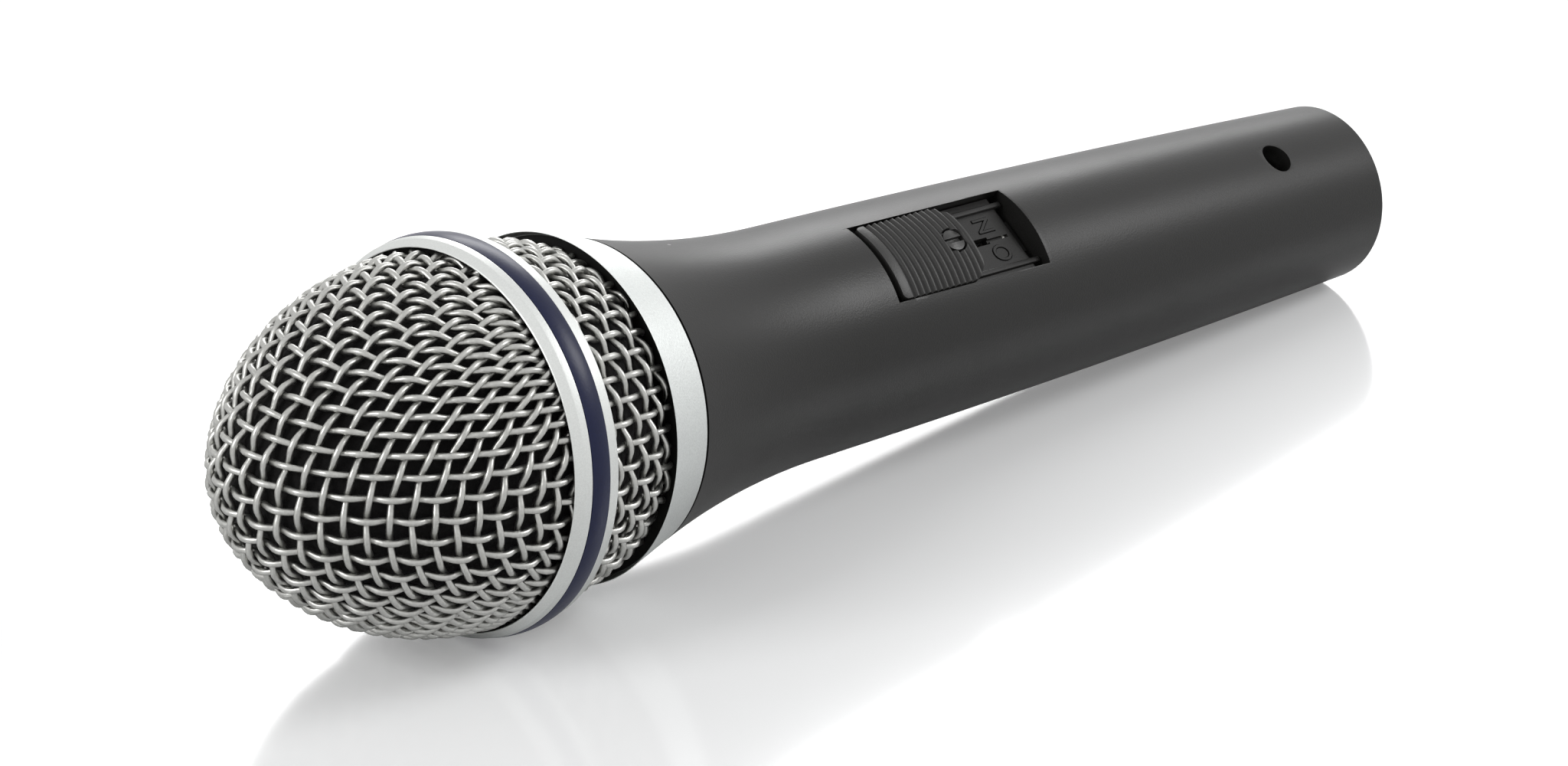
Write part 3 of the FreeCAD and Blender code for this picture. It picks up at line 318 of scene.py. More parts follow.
looks = {
    "wireSteel": {"colour": (0.46, 0.46, 0.44), "metal": 1.0, "rough": (0.32, 0.44), "grainSize": 2600, "tone": 0.1,
                  "bump": 0.12, "wearSize": 120},
    "satinRing": {"colour": (0.66, 0.675, 0.66), "metal": 1.0, "rough": (0.36, 0.42), "grainSize": 5200,
                  "tone": 0.06, "bump": 0.1},
    "satinCollar": {"colour": (0.64, 0.66, 0.65), "metal": 1.0, "rough": (0.42, 0.5), "grainSize": 4200,
                    "tone": 0.08, "bump": 0.16},
    "navyBand": {"colour": (0.006, 0.0095, 0.044), "specular": 0.25, "rough": (0.3, 0.38), "grainSize": 2500,
                 "tone": 0.1, "bump": 0.05},
    # painted shade: a near-black finish laid on the inside faces of the ring and collar, where shade falls
    "seatShadePaint": {"colour": (0.008, 0.0078, 0.0075), "specular": 0.2, "rough": (0.6, 0.7), "grainSize": 2000,
                  "tone": 0.1, "bump": 0.1},
    "foamBlack": {"colour": (0.006, 0.0055, 0.0055), "rough": (0.85, 0.95), "grainSize": 1500, "tone": 0.4,
                  "bump": 1.0, "specular": 0.2, "sheen": 0.1},
    "handlePaint": {"colour": (0.0105, 0.0102, 0.0096), "specular": 0.3, "rough": (0.34, 0.4), "grainSize": 4200,
                    "tone": 0.08, "bump": 0.1, "dust": 0.05, "wearSize": 30},
    "plainAlloy": {"colour": (0.55, 0.55, 0.56), "metal": 1.0, "rough": (0.32, 0.42), "grainSize": 3000,
                   "tone": 0.06, "bump": 0.08, "rings": 5000},
    "mouldedBlack": {"colour": (0.012, 0.0115, 0.011), "specular": 0.3, "rough": (0.42, 0.52), "grainSize": 3500,
                     "tone": 0.1, "bump": 0.12},
    "clearFilm": {"colour": (0.85, 0.87, 0.9), "rough": (0.08, 0.14), "grainSize": 900, "tone": 0.02,
                  "bump": 0.02, "clear": 0.8},
    "coilCopper": {"colour": (0.75, 0.36, 0.2), "metal": 1.0, "rough": (0.28, 0.38), "grainSize": 2500,
                   "tone": 0.1, "bump": 0.1, "rings": 9000},
    "softIron": {"colour": (0.42, 0.42, 0.43), "metal": 1.0, "rough": (0.35, 0.45), "grainSize": 2500,
                 "tone": 0.1, "bump": 0.1},
    "magnetNickel": {"colour": (0.68, 0.67, 0.64), "metal": 1.0, "rough": (0.16, 0.24), "grainSize": 3000,
                     "tone": 0.04, "bump": 0.04},
    "greyFelt": {"colour": (0.18, 0.18, 0.18), "rough": (0.9, 1.0), "grainSize": 2200, "tone": 0.35, "bump": 1.0,
                 "sheen": 0.3},
    "boardBrown": {"colour": (0.2, 0.1, 0.045), "rough": (0.5, 0.6), "grainSize": 1500, "tone": 0.18,
                   "bump": 0.12},
    "contactPlate": {"colour": (0.72, 0.66, 0.5), "metal": 1.0, "rough": (0.2, 0.3), "grainSize": 3000,
                     "tone": 0.06, "bump": 0.05},
    "blackRubber": {"colour": (0.016, 0.016, 0.016), "rough": (0.62, 0.75), "grainSize": 2200, "tone": 0.15,
                    "bump": 0.25},
    "screwZinc": {"colour": (0.58, 0.58, 0.55), "metal": 1.0, "rough": (0.28, 0.4), "grainSize": 3500,
                  "tone": 0.1, "bump": 0.12},
    "sliderGrey": {"colour": (0.022, 0.0215, 0.0205), "specular": 0.4, "rough": (0.42, 0.5), "grainSize": 3800,
                   "tone": 0.12, "bump": 0.12},
    "screwBlack": {"colour": (0.022, 0.0215, 0.0205), "rough": (0.34, 0.44), "grainSize": 3500,
                   "tone": 0.1, "bump": 0.1},
    "leverWhite": {"colour": (0.72, 0.71, 0.68), "rough": (0.4, 0.5), "grainSize": 2500, "tone": 0.04,
                   "bump": 0.06},
    "leadRed": {"colour": (0.5, 0.02, 0.015), "rough": (0.4, 0.5), "grainSize": 2500, "tone": 0.06,
                "bump": 0.06},
    "leadYellow": {"colour": (0.7, 0.5, 0.05), "rough": (0.4, 0.5), "grainSize": 2500, "tone": 0.06,
                   "bump": 0.06},
}
materials = {name: finish(name, look) for name, look in looks.items()}

nodeFinish = {
    "handle": "handlePaint", "thread_sleeve": "plainAlloy", "resonator_cap": "mouldedBlack",
    "capsule_housing": "mouldedBlack", "diaphragm": "clearFilm", "voice_coil": "coilCopper",
    "pole_plate": "softIron", "magnet": "magnetNickel", "yoke_cup": "softIron", "rear_felt": "greyFelt",
    "rear_chamber": "mouldedBlack", "terminal_board": "boardBrown", "capsule_lugs": "contactPlate",
    "shock_mount": "blackRubber", "circlip": "softIron", "switch_tray": "mouldedBlack",
    "switch_frame": "softIron", "frame_screws": "screwZinc", "switch_body": "boardBrown",
    "switch_terminals": "contactPlate", "connector_insert": "mouldedBlack", "contact_pin_1": "contactPlate",
    "contact_pin_2": "contactPlate", "contact_pin_3": "contactPlate", "ground_tab": "contactPlate",
    "capsule_lead_hot": "leadRed", "capsule_lead_cold": "leadYellow", "output_lead_hot": "leadRed",
    "output_lead_cold": "leadYellow", "switch_slider": "sliderGrey", "switch_lever": "leverWhite",
    "bridge_contacts": "contactPlate", "lock_screw": "screwBlack", "set_screw": "screwZinc",
    "front_grille": "wireSteel", "rear_grille": "wireSteel", "grille_ring": "satinRing",
    "colour_band": "navyBand", "collar": "satinCollar", "front_foam": "foamBlack", "rear_foam": "foamBlack",
}
for node, name in nodeFinish.items():
    dress(nodes[node], materials[name])
print("finishes made")


def place(piece, body, material, slot, *stoodFor):
    layDown(piece)
    dress(piece, materials[material])
    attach(piece, body)
    if stoodFor:
        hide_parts(*stoodFor)


# ---- woven front mesh ----

frontMesh = {
    "depth": 32.3, "radius": 24.0, "noseArc": 17.0,   # outside of the dome
    "wire": 0.44,       # half the wire's thickness
    "crimp": 0.42,      # how far a wire rises and dips
    "pitch": 2.72,
    "turn": 56.0,       # degrees about the axis
    "steps": 6,         # points from one crossing to the next
    "tuck": 1.1,        # how far the wires run on under the ring
}


def meridian(mesh, reach):  # (along, out, slope) of the middle surface, at a distance from the nose along it
    excess = mesh["radius"] - mesh["noseArc"]
    run = mesh["depth"] - mesh["noseArc"]
    drop = (run ** 2 - excess ** 2) / (2 * excess)
    noseArc = mesh["noseArc"] - 2 * mesh["wire"]
    sideArc = mesh["radius"] + drop - 2 * mesh["wire"]
    turnOver = math.atan2(drop, run)
    if reach < noseArc * turnOver:
        angle = reach / noseArc
        return mesh["noseArc"] - noseArc * math.cos(angle), noseArc * math.sin(angle), angle
    reach -= noseArc * turnOver
    sideAngle = math.atan2(run, drop)
    if reach < sideArc * sideAngle:
        angle = sideAngle - reach / sideArc
        return mesh["depth"] - sideArc * math.sin(angle), sideArc * math.cos(angle) - drop, math.pi / 2 - angle
    return mesh["depth"] + reach - sideArc * sideAngle, sideArc - drop, math.pi / 2


def onDome(mesh, spot, rise=0.0):  # spot is a flat (x, y) whose length is the distance from the nose
    reach, angle = math.hypot(*spot), math.atan2(spot[1], spot[0]) + math.radians(mesh["turn"])
    along, out, slope = meridian(mesh, reach)
    along -= rise * math.cos(slope)
    out += rise * math.sin(slope)
    return Vector((along, out * math.cos(angle), out * math.sin(angle)))


def nextCrossing(mesh, first, second, guess):  # the spot one pitch away from two crossings
    spot, goals = Vector(guess), (onDome(mesh, first), onDome(mesh, second))
    step = 1e-4
    for attempt in range(12):
        here = onDome(mesh, spot)
        misses = [(here - goal).length - mesh["pitch"] for goal in goals]
        if max(abs(miss) for miss in misses) < 1e-6:
            break
        moves = [onDome(mesh, spot + shift) for shift in (Vector((step, 0)), Vector((0, step)))]
        rows = [[((move - goal).length - mesh["pitch"] - miss) / step for move in moves]
                for goal, miss in zip(goals, misses)]
        change = Matrix(rows).inverted_safe() @ Vector(misses)
        if change.length > mesh["pitch"] / 2:
            change *= mesh["pitch"] / 2 / change.length
        spot -= change
    return spot


def crossings(mesh, limit):  # like a net drawn over the dome: every side of every cell is one pitch long
    count = int(limit / mesh["pitch"]) + 2
    spots = {}
    for number in range(count + 1):
        spots[number, 0] = Vector((number * mesh["pitch"], 0))
        spots[0, number] = Vector((0, number * mesh["pitch"]))
    for total in range(2, 2 * count + 1):
        for across in range(max(1, total - count), min(count, total - 1) + 1):
            down = total - across
            left, below, corner = [spots.get(key) for key in ((across - 1, down), (across, down - 1),
                                                              (across - 1, down - 1))]
            if left is None or below is None or min(left.length, below.length) > limit + mesh["pitch"]:
                continue
            spots[across, down] = nextCrossing(mesh, left, below, left + below - corner)
    return {(across * sideX, down * sideY): Vector((spot.x * sideX, spot.y * sideY))
            for (across, down), spot in spots.items() for sideX in (1, -1) for sideY in (1, -1)}


def smoothStep(before, start, end, after, share):  # a curve through start and end that keeps its direction
    return 0.5 * (2 * start + (end - before) * share + (2 * before - 5 * start + 4 * end - after) * share ** 2
                  + (3 * start - before - 3 * end + after) * share ** 3)


def wavePoints(mesh, spots, firstSide, surface):
    points = []
    for number, (start, end) in enumerate(zip(spots, spots[1:])):
        before = spots[number - 1] if number else 2 * start - end
        after = spots[number + 2] if number + 2 < len(spots) else 2 * end - start
        side = firstSide if number % 2 == 0 else -firstSide
        for step in range(mesh["steps"]):
            share = step / mesh["steps"]
            swing = math.cos(math.pi * share)
            rise = side * mesh["crimp"] * math.copysign(abs(swing) ** 0.8, swing)
            points.append(surface(mesh, smoothStep(before, start, end, after, share), rise))
    return points


def wiresFrom(name, mesh, routes):  # one round wire along each route
    curve = bpy.data.curves.new(name, "CURVE")
    curve.dimensions = "3D"
    curve.bevel_depth = mesh["wire"] * mm
    curve.bevel_resolution = 2
    curve.use_fill_caps = True
    for route in routes:
        spline = curve.splines.new("POLY")
        spline.points.add(len(route) - 1)
        for point, spot in zip(spline.points, route):
            point.co = (*(spot * mm), 1)
    piece = bpy.data.objects.new(name, curve)
    bpy.context.scene.collection.objects.link(piece)
    pick(piece)
    bpy.ops.object.convert(target="MESH")
    piece = bpy.context.object
    bpy.ops.object.shade_smooth()
    return piece


def trimMesh(piece, station, keepFront):
    pick(piece)
    bpy.ops.object.mode_set(mode="EDIT")
    bpy.ops.mesh.select_all(action="SELECT")
    bpy.ops.mesh.bisect(plane_co=(station * mm, 0, 0), plane_no=(1, 0, 0), use_fill=True, clear_outer=keepFront,
                        clear_inner=not keepFront)
    bpy.ops.object.mode_set(mode="OBJECT")


def makeFrontMesh():
    mesh = frontMesh
    limit = next(reach / 10 for reach in range(2000) if meridian(mesh, reach / 10)[0] > mesh["depth"] + mesh["tuck"])
    spots = crossings(mesh, limit)
    count = max(key[0] for key in spots)
    routes = []
    for row in range(-count, count + 1):
        for lengthwise in (True, False):
            keys = [(step, row) if lengthwise else (row, step) for step in range(-count, count + 1)]
            keys = [key for key in keys if key in spots and spots[key].length < limit + 1.6 * mesh["pitch"]]
            if len(keys) < 2:
                continue
            over = 1 if (sum(keys[0]) % 2 == 0) != lengthwise else -1
            routes.append(wavePoints(mesh, [spots[key] for key in keys], over, onDome))
    piece = wiresFrom("frontMesh", mesh, routes)
    trimMesh(piece, mesh["depth"] + mesh["tuck"], True)
    place(piece, "grille_head", "wireSteel", "grille_wire", "front_grille")
    print("front mesh woven,", len(routes), "wires")


makeFrontMesh()


# ---- woven rear mesh ----

rearMesh = {
    "front": 39.0, "back": 51.15, "frontRadius": 24.2, "backRadius": 21.9,
    "wire": 0.43, "crimp": 0.45,
    "around": 52,       # wires that run along the cone
    "rowGap": 2.6,      # from one crossing to the next along such a wire
    "starts": 10,       # wires that wind around it, each drifting back by this many rows in a full turn
    "firstRow": 0.7, "turn": 127.5,
    "steps": 6, "tuck": 1.1, "dip": 0.7, "dipLength": 3.0,
}


def onCone(mesh, spot, rise=0.0):  # spot is (along, angle)
    along, angle = spot
    out = mesh["frontRadius"] + (mesh["backRadius"] - mesh["frontRadius"]) * (along - mesh["front"]) / (
        mesh["back"] - mesh["front"]) - 2 * mesh["wire"]
    share = min(1.0, max(0.0, (along - mesh["back"] + mesh["dipLength"]) / mesh["dipLength"]))
    out += rise - mesh["dip"] * share ** 2 * (3 - 2 * share)
    return Vector((along, out * math.cos(angle), out * math.sin(angle)))


def makeRearMesh():
    mesh = rearMesh
    front, back = mesh["front"] - mesh["tuck"], mesh["back"] + mesh["tuck"]
    drift = mesh["starts"] * mesh["rowGap"] / mesh["around"]

    def crossing(row, column):
        return Vector((mesh["front"] + mesh["firstRow"] + row * mesh["rowGap"] + column * drift,
                       math.radians(mesh["turn"]) + column * 2 * math.pi / mesh["around"]))

    routes = []
    for column in range(mesh["around"]):
        rows = [row for row in range(-40, 41)
                if front - 1.5 * mesh["rowGap"] < crossing(row, column)[0] < back + 1.5 * mesh["rowGap"]]
        over = 1 if (rows[0] + column) % 2 == 1 else -1
        routes.append(wavePoints(mesh, [crossing(row, column) for row in rows], over, onCone))
    for start in range(mesh["starts"]):
        columns = [column for column in range(-200, 201)
                   if front - 1.5 * drift < crossing(start, column)[0] < back + 1.5 * drift]
        over = 1 if (start + columns[0]) % 2 == 0 else -1
        routes.append(wavePoints(mesh, [crossing(start, column) for column in columns], over, onCone))
    piece = wiresFrom("rearMesh", mesh, routes)
    trimMesh(piece, front, False)
    trimMesh(piece, back, True)
    place(piece, "grille_head", "wireSteel", "grille_wire", "rear_grille")
    print("rear mesh woven,", len(routes), "wires")


makeRearMesh()


# ---- ring, colour band and collar ----

ring = {"front": 32.3, "back": 39.0, "bore": 22.3, "frontLip": 24.35, "face": 1.05, "faceRadius": 25.1,
        "crest": 25.3, "backRadius": 24.9, "edge": 0.12, "lip": 1.4, "seatShadeRadius": 24.38}
band = {"front": 34.35, "back": 37.25, "seat": 24.9, "radius": 25.5, "shoulder": 0.35}
collar = {"front": 51.15, "back": 58.3, "frontRadius": 22.6, "backRadius": 20.5, "bore": 17.5, "edge": 0.12,
          "lip": 1.4, "seatShadeRadius": 21.6}


def paintSeatShade(piece, front, back, radius):  # painted shade: inside faces nearer to the axis than the mesh get a near-black finish, standing in for the shade inside the seat
    piece.data.materials.append(materials["seatShadePaint"])
    for face in piece.data.polygons:
        spot = face.center - nose
        along = spot.dot(tailward)
        out = (spot - tailward * along).length
        if front * mm < along < back * mm and out < radius * mm:
            face.material_index = 1


def makeRing():
    piece = turned("grilleRing", [
        (ring["front"] + ring["lip"], ring["bore"]), (ring["back"] - ring["lip"], ring["bore"]),
        (ring["back"] - ring["lip"], 24.3), (ring["back"], 24.4), (ring["back"], ring["backRadius"]),
        (band["back"], ring["crest"]), (band["back"], band["seat"]), (band["front"], band["seat"]),
        (band["front"], ring["crest"]), (ring["front"] + ring["face"], ring["faceRadius"]),
        (ring["front"], ring["frontLip"]), (ring["front"], 24.15), (ring["front"] + ring["lip"], 24.1),
    ], segments=256)
    softenEdges(piece, ring["edge"], segments=3, degrees=14)
    smoothBy(piece, 40)
    place(piece, "grille_head", "satinRing", "satin_silver", "grille_ring")
    # painted shade on the ring's inside faces next to the mesh
    paintSeatShade(piece, ring["front"] + 0.2, ring["back"] - 0.2, ring["seatShadeRadius"])
    crown = arcBetween((band["back"] - 0.05, band["radius"] - band["shoulder"] * 0.55),
                       (band["front"] + 0.05, band["radius"] - band["shoulder"] * 0.55), 6.0, 10)
    piece = turned("colourBand", [(band["front"] + 0.05, band["seat"]), (band["back"] - 0.05, band["seat"]),
                                  *crown], segments=256, degrees=50)
    place(piece, "grille_head", "navyBand", "band_blue", "colour_band")


def makeCollar():
    piece = turned("collar", [
        (collar["front"], collar["frontRadius"] - 0.12), (collar["front"] + collar["lip"], 21.95),
        (collar["front"] + collar["lip"], collar["bore"]),
        (collar["back"], collar["bore"]), (collar["back"], collar["backRadius"]),
        (collar["front"], collar["frontRadius"]),
    ], segments=256)
    softenEdges(piece, collar["edge"], segments=3, degrees=40)
    smoothBy(piece, 40)
    piece.name = "screwCollar"
    place(piece, "grille_head", "satinCollar", "satin_silver", "collar")
    # painted shade on the collar's inside faces at its front lip
    paintSeatShade(piece, collar["front"] + 0.2, collar["front"] + 1.5, collar["seatShadeRadius"])


makeRing()
makeCollar()
print("ring and collar turned")


# ---- foam liners ----

foam = {"front": 1.95, "wall": 2.2, "swell": 0.25, "cell": 0.9, "rearStart": 35.5, "coneStart": 39.0,
        "rearInset": 1.9, "rearRadius": 19.9, "rearStep": 0.6, "rearSteps": 20}


def domeOutline(mesh, offset, count):
    shell = dict(mesh, wire=offset / 2)
    total = next(reach / 10 for reach in range(2000) if meridian(shell, reach / 10)[0] > mesh["depth"] + 2.9)
    return [meridian(shell, total * step / count)[:2] for step in range(count + 1)]


def ruffle(piece, strength, size):
    texture = bpy.data.textures.new(piece.name + "Cells", "VORONOI")
    texture.noise_scale = size * mm
    applyModifier(piece, "DISPLACE", texture=texture, strength=strength * mm, mid_level=0.5,
                  texture_coords="GLOBAL")


def makeFoam():
    outside = domeOutline(frontMesh, foam["front"], 60)
    inside = domeOutline(frontMesh, foam["front"] + foam["wall"], 40)
    piece = turned("frontFoam", [*outside, *reversed(inside)], segments=200, degrees=80)
    ruffle(piece, foam["swell"], foam["cell"])
    place(piece, "grille_head", "foamBlack", "black_foam", "front_foam")
    top = frontMesh["radius"] - foam["rearInset"]
    outside = [(foam["rearStart"], top), (foam["coneStart"], top)]
    outside += [(foam["coneStart"] + foam["rearStep"] * step,
                 top + (foam["rearRadius"] - top) * step / foam["rearSteps"])
                for step in range(1, foam["rearSteps"] + 1)]
    inside = [(along, out - foam["wall"]) for along, out in outside]
    piece = turned("rearFoam", [*outside, *reversed(inside)], segments=200, degrees=80)
    ruffle(piece, foam["swell"], foam["cell"])
    place(piece, "grille_head", "foamBlack", "black_foam", "rear_foam")


makeFoam()
print("foam fitted")


# ---- handle ----

handle = {
    "start": 58.7, "mouth": 20.4, "waistAt": 91.7, "waist": 15.6, "barrelArc": 3600.0, "end": 199.4,
    "tail": 12.4, "tailRound": 0.6, "wall": 2.7, "bore": 16.0, "boreEnd": 67.7,
    "slot": (99.4, 128.6), "slotWidth": 12.5,
    "socket": 8.1, "socketDepth": 14.8, "insert": 8.4, "seat": 7.0, "hole": 2.3,
    "edge": 0.1,
}


def handleOutline():
    tailCorner = (handle["end"] - handle["tailRound"], handle["tail"])
    waist = (handle["waistAt"], handle["waist"])
    fall = math.atan2(waist[1] - tailCorner[1], tailCorner[0] - waist[0])
    chord = math.dist(waist, tailCorner)
    slope = fall - math.asin(chord / 2 / handle["barrelArc"])
    flare = math.dist(waist, (handle["start"], handle["mouth"]))
    rise = math.atan2(handle["mouth"] - waist[1], waist[0] - handle["start"])
    flareArc = flare / (2 * math.sin(rise - slope))
    insertEnd = handle["end"] - handle["socketDepth"]
    return [
        (handle["start"], handle["bore"]), (handle["boreEnd"], handle["bore"]),
        (handle["boreEnd"], waist[1] - handle["wall"]), (waist[0], waist[1] - handle["wall"]),
        (insertEnd - handle["insert"] - 3.0, 10.0), (insertEnd - handle["insert"] - 3.0, handle["seat"]),
        (insertEnd - handle["insert"], handle["seat"]), (insertEnd - handle["insert"], 7.9),
        (insertEnd, 7.9), (insertEnd, handle["socket"]),
        (handle["end"] - 0.5, handle["socket"]), (handle["end"], handle["socket"] + 0.5),
        *arcBetween((handle["end"], handle["tail"] - handle["tailRound"]), tailCorner, handle["tailRound"], 5),
        *arcBetween(tailCorner, waist, handle["barrelArc"], 40)[1:],
        *arcBetween(waist, (handle["start"], handle["mouth"]), -flareArc, 26)[1:],
    ]


def makeHandle():
    piece = turned("handleShell", handleOutline(), segments=256, degrees=30)
    front, back = handle["slot"]
    slot = block("slotTool", front, back, handle["slotWidth"], 5, 25)
    screwAt = handle["end"] - handle["socketDepth"] - handle["insert"] / 2
    hole = post("holeTool", screwAt, 0, 5, 20, handle["hole"], 64)
    notch = block("notchTool", handle["end"] - 9.0, handle["end"] + 2, 3.0, 3, handle["socket"] + 1.2)
    cutOut(piece, slot, hole, notch)
    softenEdges(piece, handle["edge"], segments=2, degrees=50)
    smoothBy(piece, 35)
    applyModifier(piece, "WEIGHTED_NORMAL", keep_sharp=True, weight=80)
    place(piece, "handle_body", "handlePaint", "handle_black", "handle")


makeHandle()
print("handle turned and cut")


# ---- switch tray with its lettering ----

tray = {"floor": 12.3, "thick": 1.2, "gap": 0.1, "wellLength": 1.5, "wellDepth": 1.6, "railAt": 4.7,
        "railWidth": 0.8, "railHeight": 0.45, "trackWidth": 1.1, "track": (107.2, 122.5), "letterHeight": 3.0,
        "letterRise": 0.12, "letterAt": 123.5, "letterSide": 2.3, "offAt": 105.4, "lineEnd": 126.2,
        "recess": 0.2, "recessGap": 0.14, "lineStart": 120, "lineWidth": 0.45, "lineDepth": 0.4,
        "offSpacing": 2.9}


def makeLetter(name, text, along, side, height, bottom, top, spread=0.0):
    deselectAll()
    bpy.ops.object.text_add(location=(0, 0, 0))
    piece = bpy.context.object
    piece.name = name
    piece.data.body = text
    piece.data.size = height * mm / 0.72
    piece.data.align_x, piece.data.align_y = "CENTER", "CENTER"
    piece.data.extrude = (top - bottom) / 2 * mm
    piece.data.offset = spread * mm
    bpy.ops.object.convert(target="MESH")
    piece = bpy.context.object
    piece.location = (along * mm, side * mm, (bottom + top) / 2 * mm)
    piece.rotation_euler = (0, 0, math.pi / 2)   # tops towards the head
    piece.scale = (0.82, 1, 1)
    bpy.ops.object.transform_apply(location=True, rotation=True, scale=True)
    return piece


def makeTray():
    front, back = handle["slot"]
    width = handle["slotWidth"] - 2 * tray["gap"]
    bottom = tray["floor"] - tray["thick"]
    panelEnd = back - tray["wellLength"]
    track = block("trackTool", *tray["track"], tray["trackWidth"], bottom - 2, tray["floor"] + 2)
    line = block("lineTool", tray["lineStart"], tray["lineEnd"], tray["lineWidth"],
                 tray["floor"] - tray["lineDepth"], tray["floor"] + 1)
    words = [("O", tray["letterAt"], -tray["letterSide"]), ("N", tray["letterAt"], tray["letterSide"])]
    words += [(text, tray["offAt"], (number - 1) * tray["offSpacing"]) for number, text in enumerate("OFF")]
    tools = [makeLetter(f"recess{number}", text, along, side, tray["letterHeight"], tray["floor"] - tray["recess"],
                        tray["floor"] + 1, tray["recessGap"]) for number, (text, along, side) in enumerate(words)]
    plate = cutOut(block("trayPlate", front + tray["gap"], panelEnd, width, bottom, tray["floor"], rounding=0.08),
                   track, line, *tools)
    rails = [block(f"trayRail{side}", front + tray["gap"], back - 0.3, tray["railWidth"], tray["floor"] - 0.2,
                   tray["floor"] + tray["railHeight"], side=side * tray["railAt"], rounding=0.2)
             for side in (1, -1)]
    well = block("trayWell", panelEnd - 0.2, back + 0.6, width - 1.2, bottom - tray["wellDepth"] + 1.0,
                 bottom - tray["wellDepth"] + 1.6)
    tongue = block("trayTongue", front - 2.2, front + 0.5, 5.0, bottom, bottom + 0.8)
    rear = block("trayRear", back - 0.5, back + 2.2, 5.0, bottom - 0.5, bottom + 0.3)
    letters = [makeLetter(f"letter{number}", text, along, side, tray["letterHeight"], tray["floor"] - tray["recess"],
                          tray["floor"] + tray["letterRise"]) for number, (text, along, side) in enumerate(words)]
    piece = joined("switchTray", *rails, well, tongue, rear, *letters, plate)
    smoothBy(piece, 35)
    place(piece, "handle_body", "mouldedBlack", "dark_plastic", "switch_tray")


makeTray()


# ---- slider and its lock screw ----

slider = {"front": 100.7, "length": 16.0, "width": 11.9, "crest": 15.3, "bottom": 13.05, "ribs": 13,
          "ribPitch": 1.1, "ribDepth": 0.42, "firstRib": 1.5, "frontRound": 0.7, "backRound": 2.6, "edge": 0.14}
screw = {"offset": 13.3, "head": 1.6, "seat": 1.9, "seatDepth": 1.2, "driver": 0.75, "driverDepth": 0.6, "sunk": 0.25}


def sliderOutline():
    front, back = slider["front"] - 1, slider["front"] + slider["length"] + 1
    top = [(back, slider["crest"])]
    start = slider["front"] + slider["firstRib"]
    end = start + slider["ribs"] * slider["ribPitch"]
    steps = 10
    for number in range(slider["ribs"] * steps + 1):
        share = number / steps
        dip = (0.5 - 0.5 * math.cos(2 * math.pi * share)) ** 1.6
        top.append((end - share * slider["ribPitch"], slider["crest"] - slider["ribDepth"] * dip))
    top.append((front, slider["crest"]))
    return [(front, 8.0), (back, 8.0), *top]


def sliderPlan():
    front, back = slider["front"], slider["front"] + slider["length"]
    piece = block("sliderPlan", front, back, slider["width"], slider["bottom"], slider["crest"] + 2)
    for end, rounding in ((front, slider["frontRound"]), (back, slider["backRound"])):
        pick(piece)
        for edge in piece.data.edges:
            ends = [piece.data.vertices[index].co for index in edge.vertices]
            edge.select = all(abs(point.x - end * mm) < 0.01 * mm for point in ends) and \
                abs(ends[0].z - ends[1].z) > 0.5 * mm and abs(ends[0].y - ends[1].y) < 0.01 * mm
        for vertex in piece.data.vertices:
            vertex.select = False
        for edge in piece.data.edges:
            if edge.select:
                for index in edge.vertices:
                    piece.data.vertices[index].select = True
        for face in piece.data.polygons:
            face.select = False
        bpy.ops.object.mode_set(mode="EDIT")
        bpy.ops.mesh.select_mode(type="EDGE")
        bpy.ops.mesh.bevel(offset=rounding * mm, segments=8, affect="EDGES")
        bpy.ops.object.mode_set(mode="OBJECT")
    return piece


def makeSlider():
    drum = turned("switchSlider", sliderOutline(), segments=300)
    piece = cutOut(drum, sliderPlan(), operation="INTERSECT")
    screwAt = slider["front"] + screw["offset"]
    cutOut(piece, post("seatTool", screwAt, 0, slider["crest"] - screw["seatDepth"], 20, screw["seat"]))
    softenEdges(piece, slider["edge"], segments=2, degrees=55)
    smoothBy(piece, 40)
    place(piece, "slider", "sliderGrey", "slider_grey", "switch_slider")
    head = post("lockScrew", screwAt, 0, slider["crest"] - screw["seatDepth"] - 1.4, slider["crest"] - screw["sunk"],
                screw["head"])
    cutOut(head, block("driverTool", screwAt - 3, screwAt + 3, screw["driver"],
                       slider["crest"] - screw["sunk"] - screw["driverDepth"], 20))
    softenEdges(head, 0.08, segments=2, degrees=40)
    smoothBy(head, 40)
    place(head, "lock_screw", "screwBlack", "black_screw", "lock_screw")


makeSlider()
print("switch made")


# ---- camera, floor and light ----

view = {"azimuth": -45.03, "elevation": 23.3, "distance": 0.7706, "lens": 136.27, "sensor": 36.0,
        "aim": (-0.00779, 0.0, 0.01535)}


def makeCamera():
    azimuth, elevation = math.radians(view["azimuth"]), math.radians(view["elevation"])
    back = Vector((math.sin(azimuth) * math.cos(elevation), -math.cos(azimuth) * math.cos(elevation),
                   math.sin(elevation)))
    deselectAll()
    bpy.ops.object.camera_add(location=Vector(view["aim"]) + back * view["distance"])
    camera = bpy.context.object
    camera.rotation_euler = back.to_track_quat("Z", "Y").to_euler()
    camera.data.lens, camera.data.sensor_width = view["lens"], view["sensor"]
    camera.data.clip_start, camera.data.clip_end = 0.01, 20
    bpy.context.scene.camera = camera


stage = {"size": 6.0, "colour": (0.93, 0.935, 0.94, 1), "rough": 0.14, "lift": 0.2}


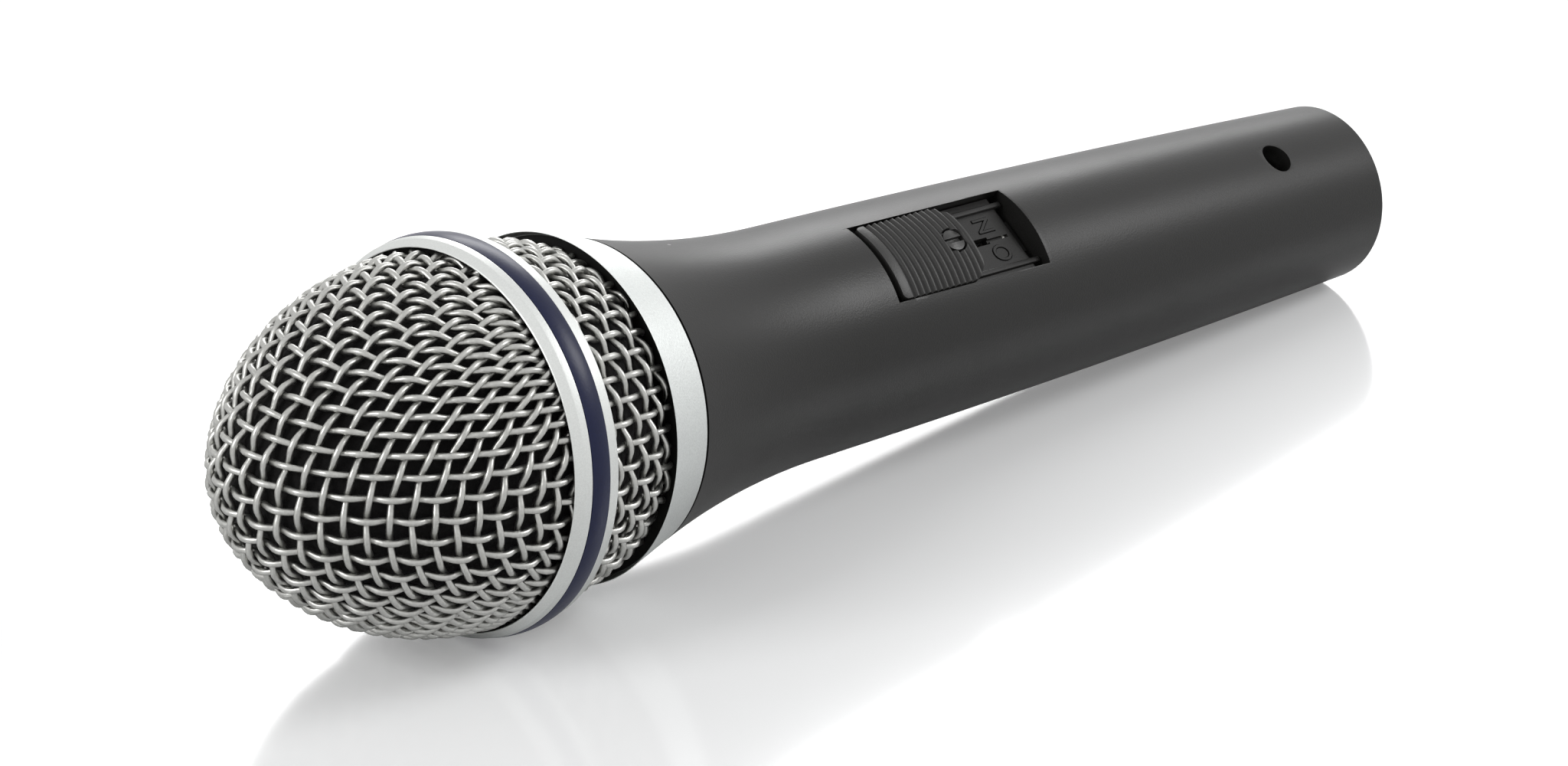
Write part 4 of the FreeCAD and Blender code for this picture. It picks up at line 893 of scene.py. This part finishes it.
def makeFloor():
    deselectAll()
    bpy.ops.mesh.primitive_plane_add(size=stage["size"], location=(0, 0, 0))
    floor = bpy.context.object
    floor.name = "studioFloor"
    material = bpy.data.materials.new("paleFloor")
    material.use_nodes = True
    tree = material.node_tree
    tree.nodes.clear()
    out = tree.nodes.new("ShaderNodeOutputMaterial")
    shader = tree.nodes.new("ShaderNodeBsdfPrincipled")
    shader.inputs["Base Color"].default_value = stage["colour"]
    shader.inputs["Roughness"].default_value = stage["rough"]
    path = tree.nodes.new("ShaderNodeLightPath")
    glow = tree.nodes.new("ShaderNodeEmission")
    lift = addNode(tree, "ShaderNodeMath", {0: path.outputs["Is Camera Ray"]}, operation="MULTIPLY",
                   in_1=stage["lift"])
    tree.links.new(lift.outputs[0], glow.inputs["Strength"])
    both = tree.nodes.new("ShaderNodeAddShader")
    tree.links.new(shader.outputs[0], both.inputs[0])
    tree.links.new(glow.outputs[0], both.inputs[1])
    tree.links.new(both.outputs[0], out.inputs["Surface"])
    dress(floor, material)


def makeWorld():
    world = bpy.data.worlds.new("studio")
    bpy.context.scene.world = world
    world.use_nodes = True
    tree = world.node_tree
    tree.nodes.clear()
    out = tree.nodes.new("ShaderNodeOutputWorld")
    path = tree.nodes.new("ShaderNodeLightPath")
    seen = addNode(tree, "ShaderNodeMath", {0: path.outputs["Is Camera Ray"], 1: path.outputs["Is Glossy Ray"]},
                   operation="MAXIMUM")
    shown = addNode(tree, "ShaderNodeMath", {0: seen.outputs[0], 1: path.outputs["Is Transmission Ray"]},
                    operation="MAXIMUM")
    strength = addNode(tree, "ShaderNodeMapRange", {"Value": shown.outputs[0]}, in_3=0.4, in_4=1.0)
    sky = addNode(tree, "ShaderNodeBackground", {"Strength": strength.outputs[0]}, in_Color=(1, 1, 1, 1))
    tree.links.new(sky.outputs[0], out.inputs["Surface"])


lamps = {
    "backBank": {"at": (0.81, 0.75, 0.62), "aim": (0, 0, 0.02), "size": (0.6, 0.4), "power": 4.5},
    "sideBank": {"at": (0.81, -0.63, 0.73), "aim": (0, 0, 0.02), "size": (0.45, 0.45), "power": 5.5},
    "headBank": {"at": (-1.05, 0.12, 0.64), "aim": (-0.08, 0, 0.03), "size": (0.45, 0.45), "power": 5.0},
}


def makeLamps():
    for name, lamp in lamps.items():
        deselectAll()
        bpy.ops.object.light_add(type="AREA", location=lamp["at"])
        light = bpy.context.object
        light.name = name
        light.data.shape = "RECTANGLE"
        light.data.size, light.data.size_y = lamp["size"]
        light.data.energy = lamp["power"]
        light.rotation_euler = (Vector(lamp["at"]) - Vector(lamp["aim"])).to_track_quat("Z", "Y").to_euler()


makeCamera()
makeFloor()
makeWorld()
makeLamps()
bpy.context.scene.view_settings.view_transform = "Standard"
print("camera, floor and light placed")
